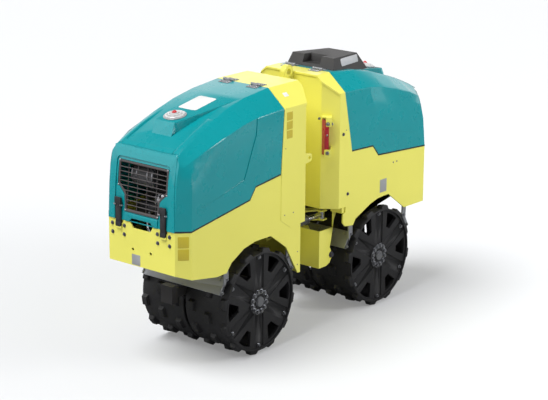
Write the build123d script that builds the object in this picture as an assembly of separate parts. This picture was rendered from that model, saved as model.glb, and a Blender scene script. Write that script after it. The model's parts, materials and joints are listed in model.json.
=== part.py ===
from build123d import *
import math
import os

# Trench roller, articulated, with a padfoot drum pair on each half.
# Millimetres. Drawn about the steering pivot: X = 0 on the pivot, +X to the engine half,
# +Y to the machine's left, heights from the drawing's base line. The finished pieces are
# moved so that the lugs stand on Z = 0 and the middle of the machine is over X = 0.

# Overall sizes, from the steering pivot
NOSE_X = 1061.0
TAIL_X = -983.0
BODY_HALF = 276.0
CORNER_ALONG = 57.0
CORNER_ACROSS = 56.5
FASCIA_HALF = BODY_HALF - CORNER_ACROSS
ROOF_Z = 1348.0
ROOF_HALF = 170.0
SHOULDER_Z = 1255.0
PLATE = 8.0
SKIN = 6.0
SEAT_GAP = 0.3
RUN_GAP = 0.06
SEAM = 2.0

# Axles and drums
DRUM_X = {"front": 496.0, "rear": -515.0}
DRUM_Z = 289.0
DRUM_R = 260.0
DRUM_WALL = 10.0
DRUM_GAP = 18.0
AXLE_R = 26.0
HOUSING_R = 105.0
HOUSING_HALF = 225.0
HOUSING_TO_DISC = 34.0
DISC_THICK = 12.0
SECTOR_THICK = 6.0
RIM_DEPTH = 11.0
CHANNEL_HALF = 33.0
HUB_R = 72.0
HUB_TO_HOUSING = 6.0
AXLE_PROUD = 7.0
DISC_Y = HOUSING_HALF + HOUSING_TO_DISC
SECTOR_Y = DISC_Y + DISC_THICK + SECTOR_THICK
DRUM_OUT_Y = SECTOR_Y + RIM_DEPTH
CARRIER_GAP = 5.0
CARRIER_THICK = DRUM_GAP - 2 * CARRIER_GAP
CARRIER_HALF_LENGTH = 150.0

# Lugs: 12 around, in three rows on each half, each row turned by a third of the pitch
LUG_H = 17.0
LUG_COUNT = 12
LUG_ROW_COUNT = 3
LUG_TOP_LONG = 48.0
LUG_FOOT_LONG = 64.0
LUG_TOP_WIDE = 32.0
LUG_FOOT_WIDE = 42.0
LUG_INNER_EDGE = 26.0
LUG_OUTER_EDGE = 2.0
LUG_SINK = 4.0

# Chassis
DECK_Z = 640.0
FASCIA_TOP_Z = 769.0
FASCIA_LOW_Z = 551.0
COLUMN_PROUD = 2.0
COLUMN_HALF = BODY_HALF + COLUMN_PROUD
COLUMN_LOW_Z = 632.0
FRONT_WALL_X = 72.0
FRONT_WALL_IN = 81.0
FRONT_WALL_HALF = BODY_HALF - FRONT_WALL_IN
FRONT_CORNER_X = 135.0
REAR_WALL_X = -88.0
REAR_WALL_IN = 76.0
REAR_WALL_HALF = BODY_HALF - REAR_WALL_IN
REAR_CORNER_X = -150.0
LEG_X = 168.0
LEG_LOW_Z = 364.0
FRONT_PART_X = 306.0
REAR_PART_X = -189.0
NOSE_REAR_X = -240.0
NOSE_LOW_Z = 300.0

# Steering and oscillation
STEER_PIN_R = 25.0
STEER_TUBE_R = 45.0
STEER_LOW_Z = 300.0
STEER_TOP_Z = 630.0
STEER_PLATE = 20.0
OSC_Z = 450.0
OSC_SHAFT_R = 40.0
OSC_HOUSING_R = 66.0
OSC_HOUSING_LONG = 82.0
OSC_COLLAR_R = 60.0
OSC_COLLAR_LONG = 16.0

# Steering cylinder
RAM_UNDER_DECK = 65.0
RAM_Z = DECK_Z - RAM_UNDER_DECK
RAM_Y = 150.0
RAM_FRONT_X = 285.0
RAM_EYE_X = -165.0
RAM_R = 25.0
RAM_ROD_R = 13.0
RAM_BARREL_END_X = -36.0
RAM_ROD_IN_X = 100.0
RAM_BORE_END_X = 215.0
RAM_EYE_R = 20.0
RAM_EYE_HALF = 20.0
RAM_EAR = 8.0
RAM_PIN_R = 10.0
RAM_WINDOW_HALF = 53.0
RAM_WINDOW_UP = 36.0

# Hoods and their hinges
HOOD_SETBACK = 20.0
HINGE_OVER_ROOF = 7.0
HINGE_Z = ROOF_Z + HINGE_OVER_ROOF
HINGE_R = 7.0
HINGE_PIN_R = 3.5
HINGE_Y = (-92.0, 92.0)
HINGE_HALF = 32.0
KNUCKLE_HALF = 16.0
LEAF = 3.0
HINGE_IN = 3.0
LATCH_Y = 148.0
LATCH_HALF = 14.0
LATCH_THICK = 13.0
LATCH_GAP = 1.0

# Things on the machine
BEACON_AHEAD = 508.0
BEACON_R = 58.0
EYE_X = -47.0
EYE_Z = ROOF_Z + 2.0
EYE_R = 36.0
EYE_HOLE_R = 16.0
EYE_HALF = 15.0
CENTRE_BOX_X = 845.0
CENTRE_BOX_LONG = 42.0

SHIFT_X = -(NOSE_X + TAIL_X) / 2
SHIFT_Z = -(DRUM_Z - DRUM_R - LUG_H)


def box(x0, x1, y0, y1, z0, z1):
    return Pos((x0 + x1) / 2, (y0 + y1) / 2, (z0 + z1) / 2) * Box(x1 - x0, y1 - y0, z1 - z0)


def slab_xz(points, y0, y1):
    """Polygon of (x, z) points carried along Y."""
    face = make_face(Polyline(*[(x, y0, z) for x, z in points], close=True))
    return extrude(face, amount=y1 - y0, dir=(0, 1, 0))


def slab_yz(points, x0, x1):
    """Polygon of (y, z) points carried along X."""
    face = make_face(Polyline(*[(x0, y, z) for y, z in points], close=True))
    return extrude(face, amount=x1 - x0, dir=(1, 0, 0))


def slab_xy(points, z0, z1):
    """Polygon of (x, y) points carried along Z."""
    face = make_face(Polyline(*[(x, y, z0) for x, y in points], close=True))
    return extrude(face, amount=z1 - z0, dir=(0, 0, 1))


def rod_x(y, z, r, x0, x1):
    return Pos((x0 + x1) / 2, y, z) * Rot(0, 90, 0) * Cylinder(r, x1 - x0)


def rod_y(x, z, r, y0, y1):
    return Pos(x, (y0 + y1) / 2, z) * Rot(90, 0, 0) * Cylinder(r, y1 - y0)


def rod_z(x, y, r, z0, z1):
    return Pos(x, y, (z0 + z1) / 2) * Cylinder(r, z1 - z0)


def group(*pieces):
    solids = []
    for piece in pieces:
        if isinstance(piece, (list, tuple)):
            for one in piece:
                solids.extend(one.solids())
        else:
            solids.extend(piece.solids())
    return Compound(children=solids)


NODES = {}


def keep(name, *pieces):
    NODES[name] = Pos(SHIFT_X, 0, SHIFT_Z) * group(*pieces)


# Chassis of each half: fascia, chamfered corners and skirts in one bent plate, with a deck
# columns: x, z along the outline, seen from the machine's left

FRONT_SKIRT = [
    (NOSE_X + 20, FASCIA_TOP_Z), (NOSE_X - CORNER_ALONG, FASCIA_TOP_Z), (570, 835), (526, 894), (329, 917),
    (329, 677), (253, 624), (LEG_X, COLUMN_LOW_Z - 3.5), (LEG_X, LEG_LOW_Z), (LEG_X + 19, LEG_LOW_Z),
    (282, 525), (406, 614), (527, 615), (614, 597), (709, 547), (746, 502), (819, 500),
    (1002, 530), (NOSE_X + 20, FASCIA_LOW_Z + 7),
]
REAR_SKIRT = [
    (TAIL_X - 20, 822), (TAIL_X + CORNER_ALONG, 824), (-495, 855), (-444, 915), (-259, 923),
    (-212, COLUMN_LOW_Z - 2), (-212, 600), (-190, 590), (-190, 545), (-211, 523), (-281, 513),
    (-302, 544), (-434, 599), (-503, 616), (-596, 619), (-746, 510), (TAIL_X - 20, 507),
]
SHELL_LOW_Z = 250.0
SHELL_TOP_Z = 1000.0


def plan_shell(end_x, start_x, wall):
    """Bent plate in plan: two sides, two chamfered corners and the end, open at start_x."""
    way = 1 if end_x > start_x else -1
    half, end_half = BODY_HALF, FASCIA_HALF
    corner_x = end_x - way * CORNER_ALONG
    outer = [(start_x, -half), (corner_x, -half), (end_x, -end_half), (end_x, end_half),
             (corner_x, half), (start_x, half)]
    slope = math.atan2(half - end_half, CORNER_ALONG)
    back = wall * math.tan(slope / 2)
    back_end = wall * math.tan((math.pi / 2 - slope) / 2)
    inner = [(start_x - way, -half + wall), (corner_x - way * back, -half + wall),
             (end_x - way * wall, -end_half + back_end), (end_x - way * wall, end_half - back_end),
             (corner_x - way * back, half - wall), (start_x - way, half - wall)]
    return slab_xy(outer, SHELL_LOW_Z, SHELL_TOP_Z) - slab_xy(inner, SHELL_LOW_Z - 50, SHELL_TOP_Z + 50)


FASCIA_DIP = [(-76, FASCIA_TOP_Z + 1), (-58, 741), (58, 741), (76, FASCIA_TOP_Z + 1)]
LATCH_NOTCH = ((27, FASCIA_TOP_Z + 1), (20, FASCIA_TOP_Z - 17))
TIE_HOLES = (59.0, 632.0, 8.0)


def front_chassis():
    shell = plan_shell(NOSE_X, LEG_X, PLATE)
    shell = shell & slab_xz(FRONT_SKIRT, -BODY_HALF - 1, BODY_HALF + 1)
    ends = (NOSE_X - 20, NOSE_X + 20)
    shell -= slab_yz(FASCIA_DIP, *ends)
    (wide, top), (narrow, low) = LATCH_NOTCH
    hole_y, hole_z, hole_r = TIE_HOLES
    for side in (-1, 1):
        y = side * LATCH_Y
        shell -= slab_yz([(y - wide, top), (y - narrow, low), (y + narrow, low), (y + wide, top)], *ends)
        shell -= rod_x(side * hole_y, hole_z, hole_r, *ends)
    inner = BODY_HALF - PLATE
    deck = box(FRONT_CORNER_X + PLATE, NOSE_X - CORNER_ALONG - 4, -inner, inner, DECK_Z, DECK_Z + PLATE)
    wall = box(LEG_X, LEG_X + PLATE, -inner, inner, LEG_LOW_Z, DECK_Z)
    window = box(LEG_X - 1, LEG_X + PLATE + 1, RAM_Y - RAM_WINDOW_HALF, RAM_Y + RAM_WINDOW_HALF,
                 RAM_Z - RAM_WINDOW_UP, RAM_Z + RAM_WINDOW_UP)
    return shell + deck + wall - window


def steering_bracket():
    plates = []
    for z in (STEER_LOW_Z, STEER_TOP_Z - STEER_PLATE):
        plate = box(0, LEG_X, -STEER_TUBE_R, STEER_TUBE_R, z, z + STEER_PLATE)
        plate += rod_z(0, 0, STEER_TUBE_R, z, z + STEER_PLATE)
        plate -= rod_z(0, 0, STEER_PIN_R, z - 1, z + STEER_PLATE + 1)
        plates.append(plate)
    web_x = STEER_TUBE_R + 15
    web = box(web_x, LEG_X, -10, 10, STEER_LOW_Z + STEER_PLATE, STEER_TOP_Z - STEER_PLATE)
    return plates[0] + plates[1] + web


# Side outline of the rear half's lower nose, x and z
NOSE_SIDE = [(REAR_WALL_X + 1, NOSE_LOW_Z), (-150, NOSE_LOW_Z), (-180, 312), (-200, 345), (-196, 370),
             (-180, 400), (-186, 420), (-212, 545), (NOSE_REAR_X + 1, 600),
             (NOSE_REAR_X + 1, COLUMN_LOW_Z - 2), (REAR_WALL_X + 1, COLUMN_LOW_Z - 2)]
NOSE_WINDOW_X = -204.0
NOSE_WINDOW_LOW_Z = 505.0


def rear_chassis():
    shell = plan_shell(TAIL_X, REAR_PART_X - 1, PLATE)
    shell = shell & slab_xz(REAR_SKIRT, -BODY_HALF - 1, BODY_HALF + 1)
    inner = BODY_HALF - PLATE
    deck = box(TAIL_X + CORNER_ALONG + 4, REAR_CORNER_X - PLATE, -inner, inner, DECK_Z, DECK_Z + PLATE)
    wall_half = REAR_WALL_HALF
    nose = slab_xy([(REAR_WALL_X, -wall_half), (REAR_WALL_X, wall_half), (NOSE_REAR_X, wall_half),
                    (NOSE_REAR_X, wall_half - PLATE), (REAR_WALL_X - PLATE, wall_half - PLATE),
                    (REAR_WALL_X - PLATE, -wall_half + PLATE), (NOSE_REAR_X, -wall_half + PLATE),
                    (NOSE_REAR_X, -wall_half)], NOSE_LOW_Z, COLUMN_LOW_Z - 2)
    nose = nose & slab_xz(NOSE_SIDE, -wall_half - 1, wall_half + 1)
    nose -= box(NOSE_WINDOW_X, REAR_WALL_X + 1, 5, wall_half + 1, NOSE_WINDOW_LOW_Z, COLUMN_LOW_Z)
    for y0, y1 in ((-inner, -wall_half + PLATE), (wall_half - PLATE, inner)):
        nose += box(NOSE_REAR_X, REAR_PART_X - 1, y0, y1, 596, DECK_Z)
    sleeve_x = REAR_WALL_X - OSC_HOUSING_LONG
    sleeve = rod_x(0, OSC_Z, OSC_HOUSING_R, sleeve_x, REAR_WALL_X)
    bore = rod_x(0, OSC_Z, OSC_SHAFT_R + RUN_GAP, sleeve_x - 30, REAR_WALL_X + 20)
    return shell + deck + nose + sleeve - bore


# Bulkhead columns at the articulation, with the cap that the hood hinges on


def column_section(half, roof_half, roof_z, shoulder_z, low_z):
    return [(-half, low_z), (half, low_z), (half, shoulder_z), (roof_half, roof_z),
            (-roof_half, roof_z), (-half, shoulder_z)]


def column(wall_x, corner_x, wall_half, part_x, foot):
    """Welded skin: roof, shoulders, sides and the chamfered wall at the gap."""
    way = 1 if part_x > wall_x else -1
    far_x = part_x + way * 200
    x0, x1 = sorted((wall_x, far_x))
    bend = PLATE / 2
    half = COLUMN_HALF
    outer = slab_yz(column_section(half, ROOF_HALF, ROOF_Z, SHOULDER_Z, 500), x0, x1)
    inner = slab_yz(column_section(half - PLATE, ROOF_HALF - bend, ROOF_Z - PLATE, SHOULDER_Z - bend, 400),
                    x0 - 500, x1 + 500)
    plan_out = [(wall_x, -wall_half), (corner_x, -half), (far_x, -half),
                (far_x, half), (corner_x, half), (wall_x, wall_half)]
    plan_in = [(wall_x + way * PLATE, -wall_half + bend), (corner_x + way * bend, -half + 1),
               (far_x + way, -half + 1), (far_x + way, half - 1),
               (corner_x + way * bend, half - 1), (wall_x + way * PLATE, wall_half - bend)]
    outer = outer & slab_xy(plan_out, 400, 1500)
    inner = inner & slab_xy(plan_in, 300, 1500)
    return (outer - inner) & slab_xz(foot, -half - 1, half + 1)


# Ear for the lock bar, on the diagonal wall of the front bulkhead: x, z outline and the hole
EAR = [(FRONT_CORNER_X - 2, 936), (92, 941), (81, 952), (81, 974), (92, 985), (FRONT_CORNER_X - 2, 990)]
EAR_HOLE = (100.0, 963.0, 9.0)
EAR_FROM_SIDE = 10.0
EAR_THICK = 8.0


def front_bulkhead():
    foot = [(FRONT_WALL_X - 1, COLUMN_LOW_Z), (FRONT_CORNER_X, COLUMN_LOW_Z), (253, 624), (329, 677),
            (329, 917), (FRONT_PART_X, SHOULDER_Z), (FRONT_PART_X, ROOF_Z + 1),
            (FRONT_WALL_X - 1, ROOF_Z + 1)]
    body = column(FRONT_WALL_X, FRONT_CORNER_X, FRONT_WALL_HALF, FRONT_PART_X, foot)
    ear_y = COLUMN_HALF - EAR_FROM_SIDE
    ear = slab_xz(EAR, ear_y, ear_y + EAR_THICK)
    hole_x, hole_z, hole_r = EAR_HOLE
    ear -= rod_y(hole_x, hole_z, hole_r, ear_y - 1, ear_y + EAR_THICK + 1)
    return body + ear


def rear_bulkhead():
    foot = [(REAR_WALL_X + 1, COLUMN_LOW_Z), (-212, COLUMN_LOW_Z), (-259, 923),
            (REAR_PART_X, SHOULDER_Z), (REAR_PART_X, ROOF_Z + 1), (REAR_WALL_X + 1, ROOF_Z + 1)]
    return column(REAR_WALL_X, REAR_CORNER_X, REAR_WALL_HALF, REAR_PART_X, foot)


# Hoods: a ruled shell through a few cross-sections
# columns: distance from the parting line, then against the bulkhead's section: how much
# wider the roof is, how far the roof is down, how far the shoulder is in and down

HOOD_STATIONS = [
    (0, 0, 0, 0, 0),
    (190, 2, 20, 0, 8),
    (320, 8, 48, 0, 31),
    (450, 16, 91, 2, 63),
    (560, 23, 135, 7, 97),
    (660, 28, 181, 24, 140),
    (765, 30, 238, 52, 203),
]
# How the side bends in under the shoulder: height below it, share of the shoulder's way in
SIDE_BEND = [(200, 0.0), (125, 0.08), (50, 0.32)]
HOOD_DRAWN = 735.0
RIDGE_R = 14.0
SHOULDER_R = 10.0
PART_X = {1: FRONT_PART_X, -1: REAR_PART_X}
END_X = {1: NOSE_X, -1: TAIL_X}
HALF_NAME = {1: "front", -1: "rear"}

# How far the hood's end has leaned back at a height
# columns: height, distance
HOOD_END = {
    1: [(700, 0), (FASCIA_TOP_Z + SEAM, 0), (861, 4), (929, 8), (1019, 17), (1078, 28), (1133, 42), (1500, 135)],
    -1: [(700, 0), (824 + SEAM, 0), (990, 20), (1090, 52), (1157, 84), (1500, 260)],
}
FOOT_Z = {1: FASCIA_TOP_Z + SEAM, -1: 824 + SEAM}


def hood_scale(way):
    return (abs(END_X[way] - PART_X[way]) - HOOD_SETBACK) / HOOD_DRAWN


def along(way, ahead):
    """X of a place given by its distance from the parting line on the drawn hood."""
    return PART_X[way] + way * ahead * hood_scale(way)


def rounded(points, radii, steps=3):
    """Polygon whose corners with a radius are turned into short chords of that arc."""
    result = []
    count = len(points)
    for number in range(count):
        corner = Vector(*points[number])
        radius = radii[number]
        if radius == 0:
            result.append(points[number])
            continue
        back = (Vector(*points[number - 1]) - corner).normalized()
        on = (Vector(*points[(number + 1) % count]) - corner).normalized()
        turn = math.pi - back.get_angle(on) * math.pi / 180
        reach = radius * math.tan(turn / 2)
        centre = corner + (back + on).normalized() * (radius / math.cos(turn / 2))
        first = corner + back * reach - centre
        last = corner + on * reach - centre
        for step in range(steps + 1):
            share = step / steps
            before = math.sin((1 - share) * turn) / math.sin(turn)
            after = math.sin(share * turn) / math.sin(turn)
            arm = first * before + last * after
            point = centre + arm
            result.append((point.X, point.Y))
    return result


def hood_form(way, inset, low_z):
    """Solid form of a hood's roof, shoulders and sides, smaller all round by the inset."""
    faces = []
    for ahead, wider, roof_down, shoulder_in, shoulder_down in HOOD_STATIONS:
        x = along(way, -10 if inset and ahead == 0 else ahead)
        half = BODY_HALF - inset
        roof_half = ROOF_HALF + wider - inset / 2
        roof_z = ROOF_Z - roof_down - inset
        shoulder_z = SHOULDER_Z - shoulder_down - inset / 2
        bend = [(half - share * shoulder_in, shoulder_z - down) for down, share in SIDE_BEND]
        right = [(half, low_z)] + bend + [(half - shoulder_in, shoulder_z), (roof_half, roof_z)]
        points = right + [(-y, z) for y, z in reversed(right)]
        if inset == 0:
            radii = (0, 0, 0, 0, SHOULDER_R, RIDGE_R)
            points = rounded(points, radii + radii[::-1])
        faces.append(make_face(Polyline(*[(x, y, z) for y, z in points], close=True)))
    return loft(faces, ruled=True)


def end_form(way, inset):
    """Leaning end with its chamfered corners, as plans at a few heights."""
    faces = []
    start_x = PART_X[way] - way * (60 if inset else 40)
    wide = BODY_HALF + 30
    for z, back in HOOD_END[way]:
        end_x = END_X[way] - way * (back + inset)
        corner_x = end_x - way * (CORNER_ALONG - inset * 0.6)
        side = BODY_HALF - (inset if inset else 0)
        front = FASCIA_HALF - inset * 0.4
        points = [(start_x, -wide), (corner_x, -wide), (corner_x, -side), (end_x, -front),
                  (end_x, front), (corner_x, side), (corner_x, wide), (start_x, wide)]
        faces.append(make_face(Polyline(*[(x, y, z) for x, y in points], close=True)))
    return loft(faces, ruled=True)


def face_x(way, z):
    """Where the hood's leaning end face stands at a height."""
    table = HOOD_END[way]
    for (low_z, low_back), (high_z, high_back) in zip(table, table[1:]):
        if z <= high_z:
            break
    back = low_back + (high_back - low_back) * (z - low_z) / (high_z - low_z)
    return END_X[way] - way * back


def face_lean(way, z):
    return math.degrees(math.atan2(abs(face_x(way, z + 20) - face_x(way, z - 20)), 40))


# Tongue on the roof that narrows to the lamp's boss
# columns: distance from the parting line, half width, height of its top
TONGUE_START = (172.0, ROOF_HALF - 2, ROOF_Z - 18.5)
TONGUE_END = (580.0, 60.0, ROOF_Z - 92)
TONGUE_NOSE = (608.0, 64.0, ROOF_Z - 161)
TONGUE_LOW_Z = 1100.0


def tongue(way, inset):
    faces = []
    for ahead, half, top_z in (TONGUE_START, TONGUE_END):
        x = along(way, ahead) - way * (inset if ahead == TONGUE_END[0] else 0)
        points = [(-half - 8 + inset, TONGUE_LOW_Z), (half + 8 - inset, TONGUE_LOW_Z),
                  (half - inset, top_z - inset), (-half + inset, top_z - inset)]
        faces.append(make_face(Polyline(*[(x, y, z) for y, z in points], close=True)))
    x1 = along(way, TONGUE_END[0]) - way * inset
    x2 = along(way, TONGUE_NOSE[0]) - way * inset
    z1 = TONGUE_END[2] - inset
    profile = [(x1 - way * 20, TONGUE_LOW_Z), (x1 - way * 20, z1 - 4), (x1, z1),
               (x2, TONGUE_NOSE[2] - inset), (x2, TONGUE_LOW_Z)]
    nose = slab_xz(profile, -TONGUE_NOSE[1] + inset, TONGUE_NOSE[1] - inset)
    return loft(faces, ruled=True) + nose


# Panel pressed into each side of a hood, deepest at its inner edge: distance from the
# parting line and height along the edge
PRESSED_EDGE = [(202, 1300), (215, 1163), (307, 951), (523, 896), (599, 880), (698, 862), (698, 1300)]
PRESSED_DEEP = 3.5
PRESSED_SPAN = (202.0, 698.0)


def pressed_panels(way, rise):
    outline = [(along(way, ahead), z + (rise if z < 1250 else 0)) for ahead, z in PRESSED_EDGE]
    x0, x1 = (along(way, ahead) for ahead in PRESSED_SPAN)
    out = BODY_HALF + 20
    panels = []
    for side in (-1, 1):
        y0, y1 = sorted((side * (BODY_HALF - 20), side * out))
        wedge = slab_xy([(x0, side * (BODY_HALF - PRESSED_DEEP)), (x1, side * BODY_HALF), (x1, side * out),
                         (x0, side * out)], 800, 1400)
        panels.append(slab_xz(outline, y0, y1) & wedge)
    return panels[0] + panels[1]


# Lower edge of each hood, seen from the side
PART_LINE = {
    1: [(FRONT_PART_X + SEAM, SHOULDER_Z + 200), (FRONT_PART_X + SEAM, SHOULDER_Z), (332, 919),
        (527, 896), (571, 837), (NOSE_X - CORNER_ALONG, FASCIA_TOP_Z + SEAM),
        (NOSE_X + 40, FASCIA_TOP_Z + SEAM)],
    -1: [(REAR_PART_X - SEAM, SHOULDER_Z + 200), (REAR_PART_X - SEAM, SHOULDER_Z), (-261, 925),
         (-445, 917), (-496, 857), (TAIL_X + CORNER_ALONG, 824 + SEAM), (TAIL_X - 40, 822 + SEAM)],
}
GRILLE = [(-165, 1070), (165, 1070), (165, 948), (118, 902),
          (112, 817), (-112, 817), (-118, 902), (-165, 948)]
GRILLE_UP = {1: 0.0, -1: 30.0}
PRESSED_RISE = {1: 0.0, -1: 45.0}


def hood(way):
    high_z = 1500.0
    line = PART_LINE[way]
    outline = [(line[0][0], high_z)] + line[1:] + [(line[-1][0], high_z)]
    lower_edge = slab_xz(outline, -BODY_HALF - 1, BODY_HALF + 1)
    outer = (hood_form(way, 0, 700) + tongue(way, 0)) & end_form(way, 0) & lower_edge
    inner = (hood_form(way, SKIN, 690) + tongue(way, SKIN)) & end_form(way, SKIN)
    mouth = [(y, z + GRILLE_UP[way]) for y, z in GRILLE]
    opening = slab_yz(mouth, *sorted((END_X[way] - way * 75, END_X[way] + way * 40)))
    return outer - inner - pressed_panels(way, PRESSED_RISE[way]) - opening


GRILLE_BACK = 5.0
GRILLE_BARS = 9
GRILLE_PITCH = 25.0
GRILLE_POSTS = (-88, 0, 88)


def grille(way):
    """Frame and bars that fill the opening in the hood's end."""
    middle_z = (GRILLE[0][1] + GRILLE[4][1]) / 2
    low_z, high_z = GRILLE[4][1], GRILLE[0][1]
    inner = [(y * 0.94, middle_z + (z - middle_z) * 0.92) for y, z in GRILLE]
    trim = [(y * 0.995, middle_z + (z - middle_z) * 0.98) for y, z in GRILLE]
    frame = slab_yz(trim, -4, 4) - slab_yz(inner, -10, 10)
    bars = []
    for number in range(GRILLE_BARS):
        z = low_z + GRILLE_PITCH * (number + 1)
        bars.append(box(-2, 2, -164, 164, z - 2, z + 2))
    for y in GRILLE_POSTS:
        bars.append(box(-2, 2, y - 2, y + 2, low_z + 3, high_z - 3))
    for bar in bars:
        frame += bar & slab_yz(trim, -10, 10)
    place_z = middle_z + GRILLE_UP[way]
    place = Pos(face_x(way, place_z) - way * GRILLE_BACK, 0, place_z)
    return place * Rot(0, -way * face_lean(way, place_z), 0) * Pos(0, 0, -middle_z) * frame


# Drums


def lug(y):
    """Padfoot block on the drum's shell, pointing up, with flanks that slant all round."""
    low_z, high_z = DRUM_R - LUG_SINK, DRUM_R + LUG_H
    foot_long, top_long = LUG_FOOT_LONG / 2, LUG_TOP_LONG / 2
    foot_wide, top_wide = LUG_FOOT_WIDE / 2, LUG_TOP_WIDE / 2
    lengthways = [(-foot_long, low_z), (foot_long, low_z), (top_long, high_z), (-top_long, high_z)]
    across = [(y - foot_wide, low_z), (y + foot_wide, low_z), (y + top_wide, high_z), (y - top_wide, high_z)]
    return slab_xz(lengthways, y - foot_wide, y + foot_wide) & slab_yz(across, -foot_long, foot_long)


def drum_prism(x, flat_r, y0, y1):
    """Many-sided drum whose flats lie at the given radius, with a flat under each lug."""
    sides = LUG_COUNT * LUG_ROW_COUNT
    corner_r = flat_r / math.cos(math.pi / sides)
    corners = []
    for number in range(sides):
        turn = 2 * math.pi * (number + 0.5) / sides
        corners.append((x + corner_r * math.sin(turn), DRUM_Z + corner_r * math.cos(turn)))
    return slab_xz(corners, y0, y1)


def drum_half(x, side):
    y0, y1 = sorted((side * DRUM_GAP / 2, side * DRUM_OUT_Y))
    shell = drum_prism(x, DRUM_R, y0, y1) - drum_prism(x, DRUM_R - DRUM_WALL, y0 - 1, y1 + 1)
    pitch = 360 / LUG_COUNT
    first = DRUM_GAP / 2 + LUG_INNER_EDGE + LUG_FOOT_WIDE / 2
    last = DRUM_OUT_Y - LUG_OUTER_EDGE - LUG_FOOT_WIDE / 2
    lugs = []
    for row in range(LUG_ROW_COUNT):
        block = lug(side * (first + (last - first) * row / (LUG_ROW_COUNT - 1)))
        for number in range(LUG_COUNT):
            angle = (number + side * row / LUG_ROW_COUNT) * pitch
            lugs.append(Pos(x, 0, DRUM_Z) * Rot(0, angle, 0) * block)
    return shell + lugs


# Opening in the disc, about its middle line: across and outwards
DISC_OPENING = [(16, 160), (49, 231), (25, 237), (0, 239), (-25, 237), (-49, 231), (-16, 160)]
SECTOR_COUNT = 6


def drum_disc(x, side):
    """Dished disc: a plate, six raised sectors with their openings, and the hub."""
    inner_r = DRUM_R - DRUM_WALL
    y0, y1 = sorted((side * DISC_Y, side * SECTOR_Y))
    disc = rod_y(0, 0, inner_r, y0, y1)
    c0, c1 = sorted((side * (DISC_Y + DISC_THICK), side * (SECTOR_Y + 5)))
    for number in range(SECTOR_COUNT):
        turn = 360 / SECTOR_COUNT * number
        disc -= Rot(0, turn + 90, 0) * slab_xz(DISC_OPENING, y0 - 5, y1 + 5)
        disc -= Rot(0, turn, 0) * box(-CHANNEL_HALF, CHANNEL_HALF, c0, c1, HUB_R - 20, inner_r - 6)
    h0, h1 = sorted((side * (HOUSING_HALF + HUB_TO_HOUSING), side * SECTOR_Y))
    disc += rod_y(0, 0, HUB_R, h0, h1)
    disc -= rod_y(0, 0, AXLE_R, h0 - 5, h1 + 5)
    return Pos(x, 0, DRUM_Z) * disc


def axle_shaft(x):
    end = SECTOR_Y + AXLE_PROUD
    return rod_y(x, DRUM_Z, AXLE_R, -end, end)


def axle_carrier(x):
    half = CARRIER_THICK / 2
    long = CARRIER_HALF_LENGTH
    outline = [(x - long, DECK_Z), (x - long, DRUM_Z + 60), (x - 70, DRUM_Z - 90),
               (x + 70, DRUM_Z - 90), (x + long, DRUM_Z + 60), (x + long, DECK_Z)]
    plate = slab_xz(outline, -half, half)
    body = plate + rod_y(x, DRUM_Z, HOUSING_R, -HOUSING_HALF, HOUSING_HALF)
    if x > 0:
        body += box(x, CENTRE_BOX_X, -half, half, DRUM_Z + 41, DRUM_Z + 95)
    return body - rod_y(x, DRUM_Z, AXLE_R + RUN_GAP, -HOUSING_HALF - 1, HOUSING_HALF + 1)


SCRAPER_TILT = 29.0
SCRAPER_GAP = 8.0
SCRAPER_THICK = 10.0
SCRAPER_HALF_TALL = 48.0
SCRAPER_END = BODY_HALF - 14.0
SCRAPER_ARM = 8.0
SCRAPER_ARM_WIDE = 36.0


def scraper(x, way, top_z):
    """Bar across both drums, tangent to them, on a bracket at each side plate."""
    reach = DRUM_R + LUG_H + SCRAPER_GAP
    tall = SCRAPER_HALF_TALL
    upright = box(reach, reach + SCRAPER_THICK, -SCRAPER_END, SCRAPER_END, -tall, tall)
    bar = Rot(0, -SCRAPER_TILT, 0) * upright
    if way < 0:
        bar = mirror(bar, about=Plane.YZ)
    c = math.cos(math.radians(SCRAPER_TILT))
    s = math.sin(math.radians(SCRAPER_TILT))
    middle = (reach + SCRAPER_THICK) * c, (reach + SCRAPER_THICK) * s
    high = reach * c - tall * s, reach * s + tall * c
    outline = [(x + way * middle[0], DRUM_Z + middle[1]), (x + way * high[0], DRUM_Z + high[1]),
               (x + way * (high[0] + 4), top_z), (x + way * (high[0] + SCRAPER_ARM_WIDE), top_z)]
    inner = BODY_HALF - PLATE
    arms = []
    for y0, y1 in ((-inner, SCRAPER_ARM - inner), (inner - SCRAPER_ARM, inner)):
        arms.append(slab_xz(outline, y0, y1))
    return Pos(x, 0, DRUM_Z) * bar + arms[0] + arms[1]


def tilt_about_y(shape, x, z, degrees):
    return Pos(x, 0, z) * Rot(0, degrees, 0) * Pos(-x, 0, -z) * shape


def steering_pin():
    pin = rod_z(0, 0, STEER_PIN_R, STEER_LOW_Z - 6, STEER_TOP_Z + 2)
    return pin + rod_z(0, 0, STEER_PIN_R + 10, STEER_LOW_Z - 14, STEER_LOW_Z)


# Ear of the yoke around the cylinder's eye, in plan: x, y from the eye
YOKE_EAR = [(-28, -22), (-20, 24), (14, 24), (22, 8), (24, -12)]
YOKE_ROOT = [(14, 42), (-38, -16)]
YOKE_WEB = [(-38, -16), (-104, 44), (-88, 66), (14, 42)]


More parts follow.
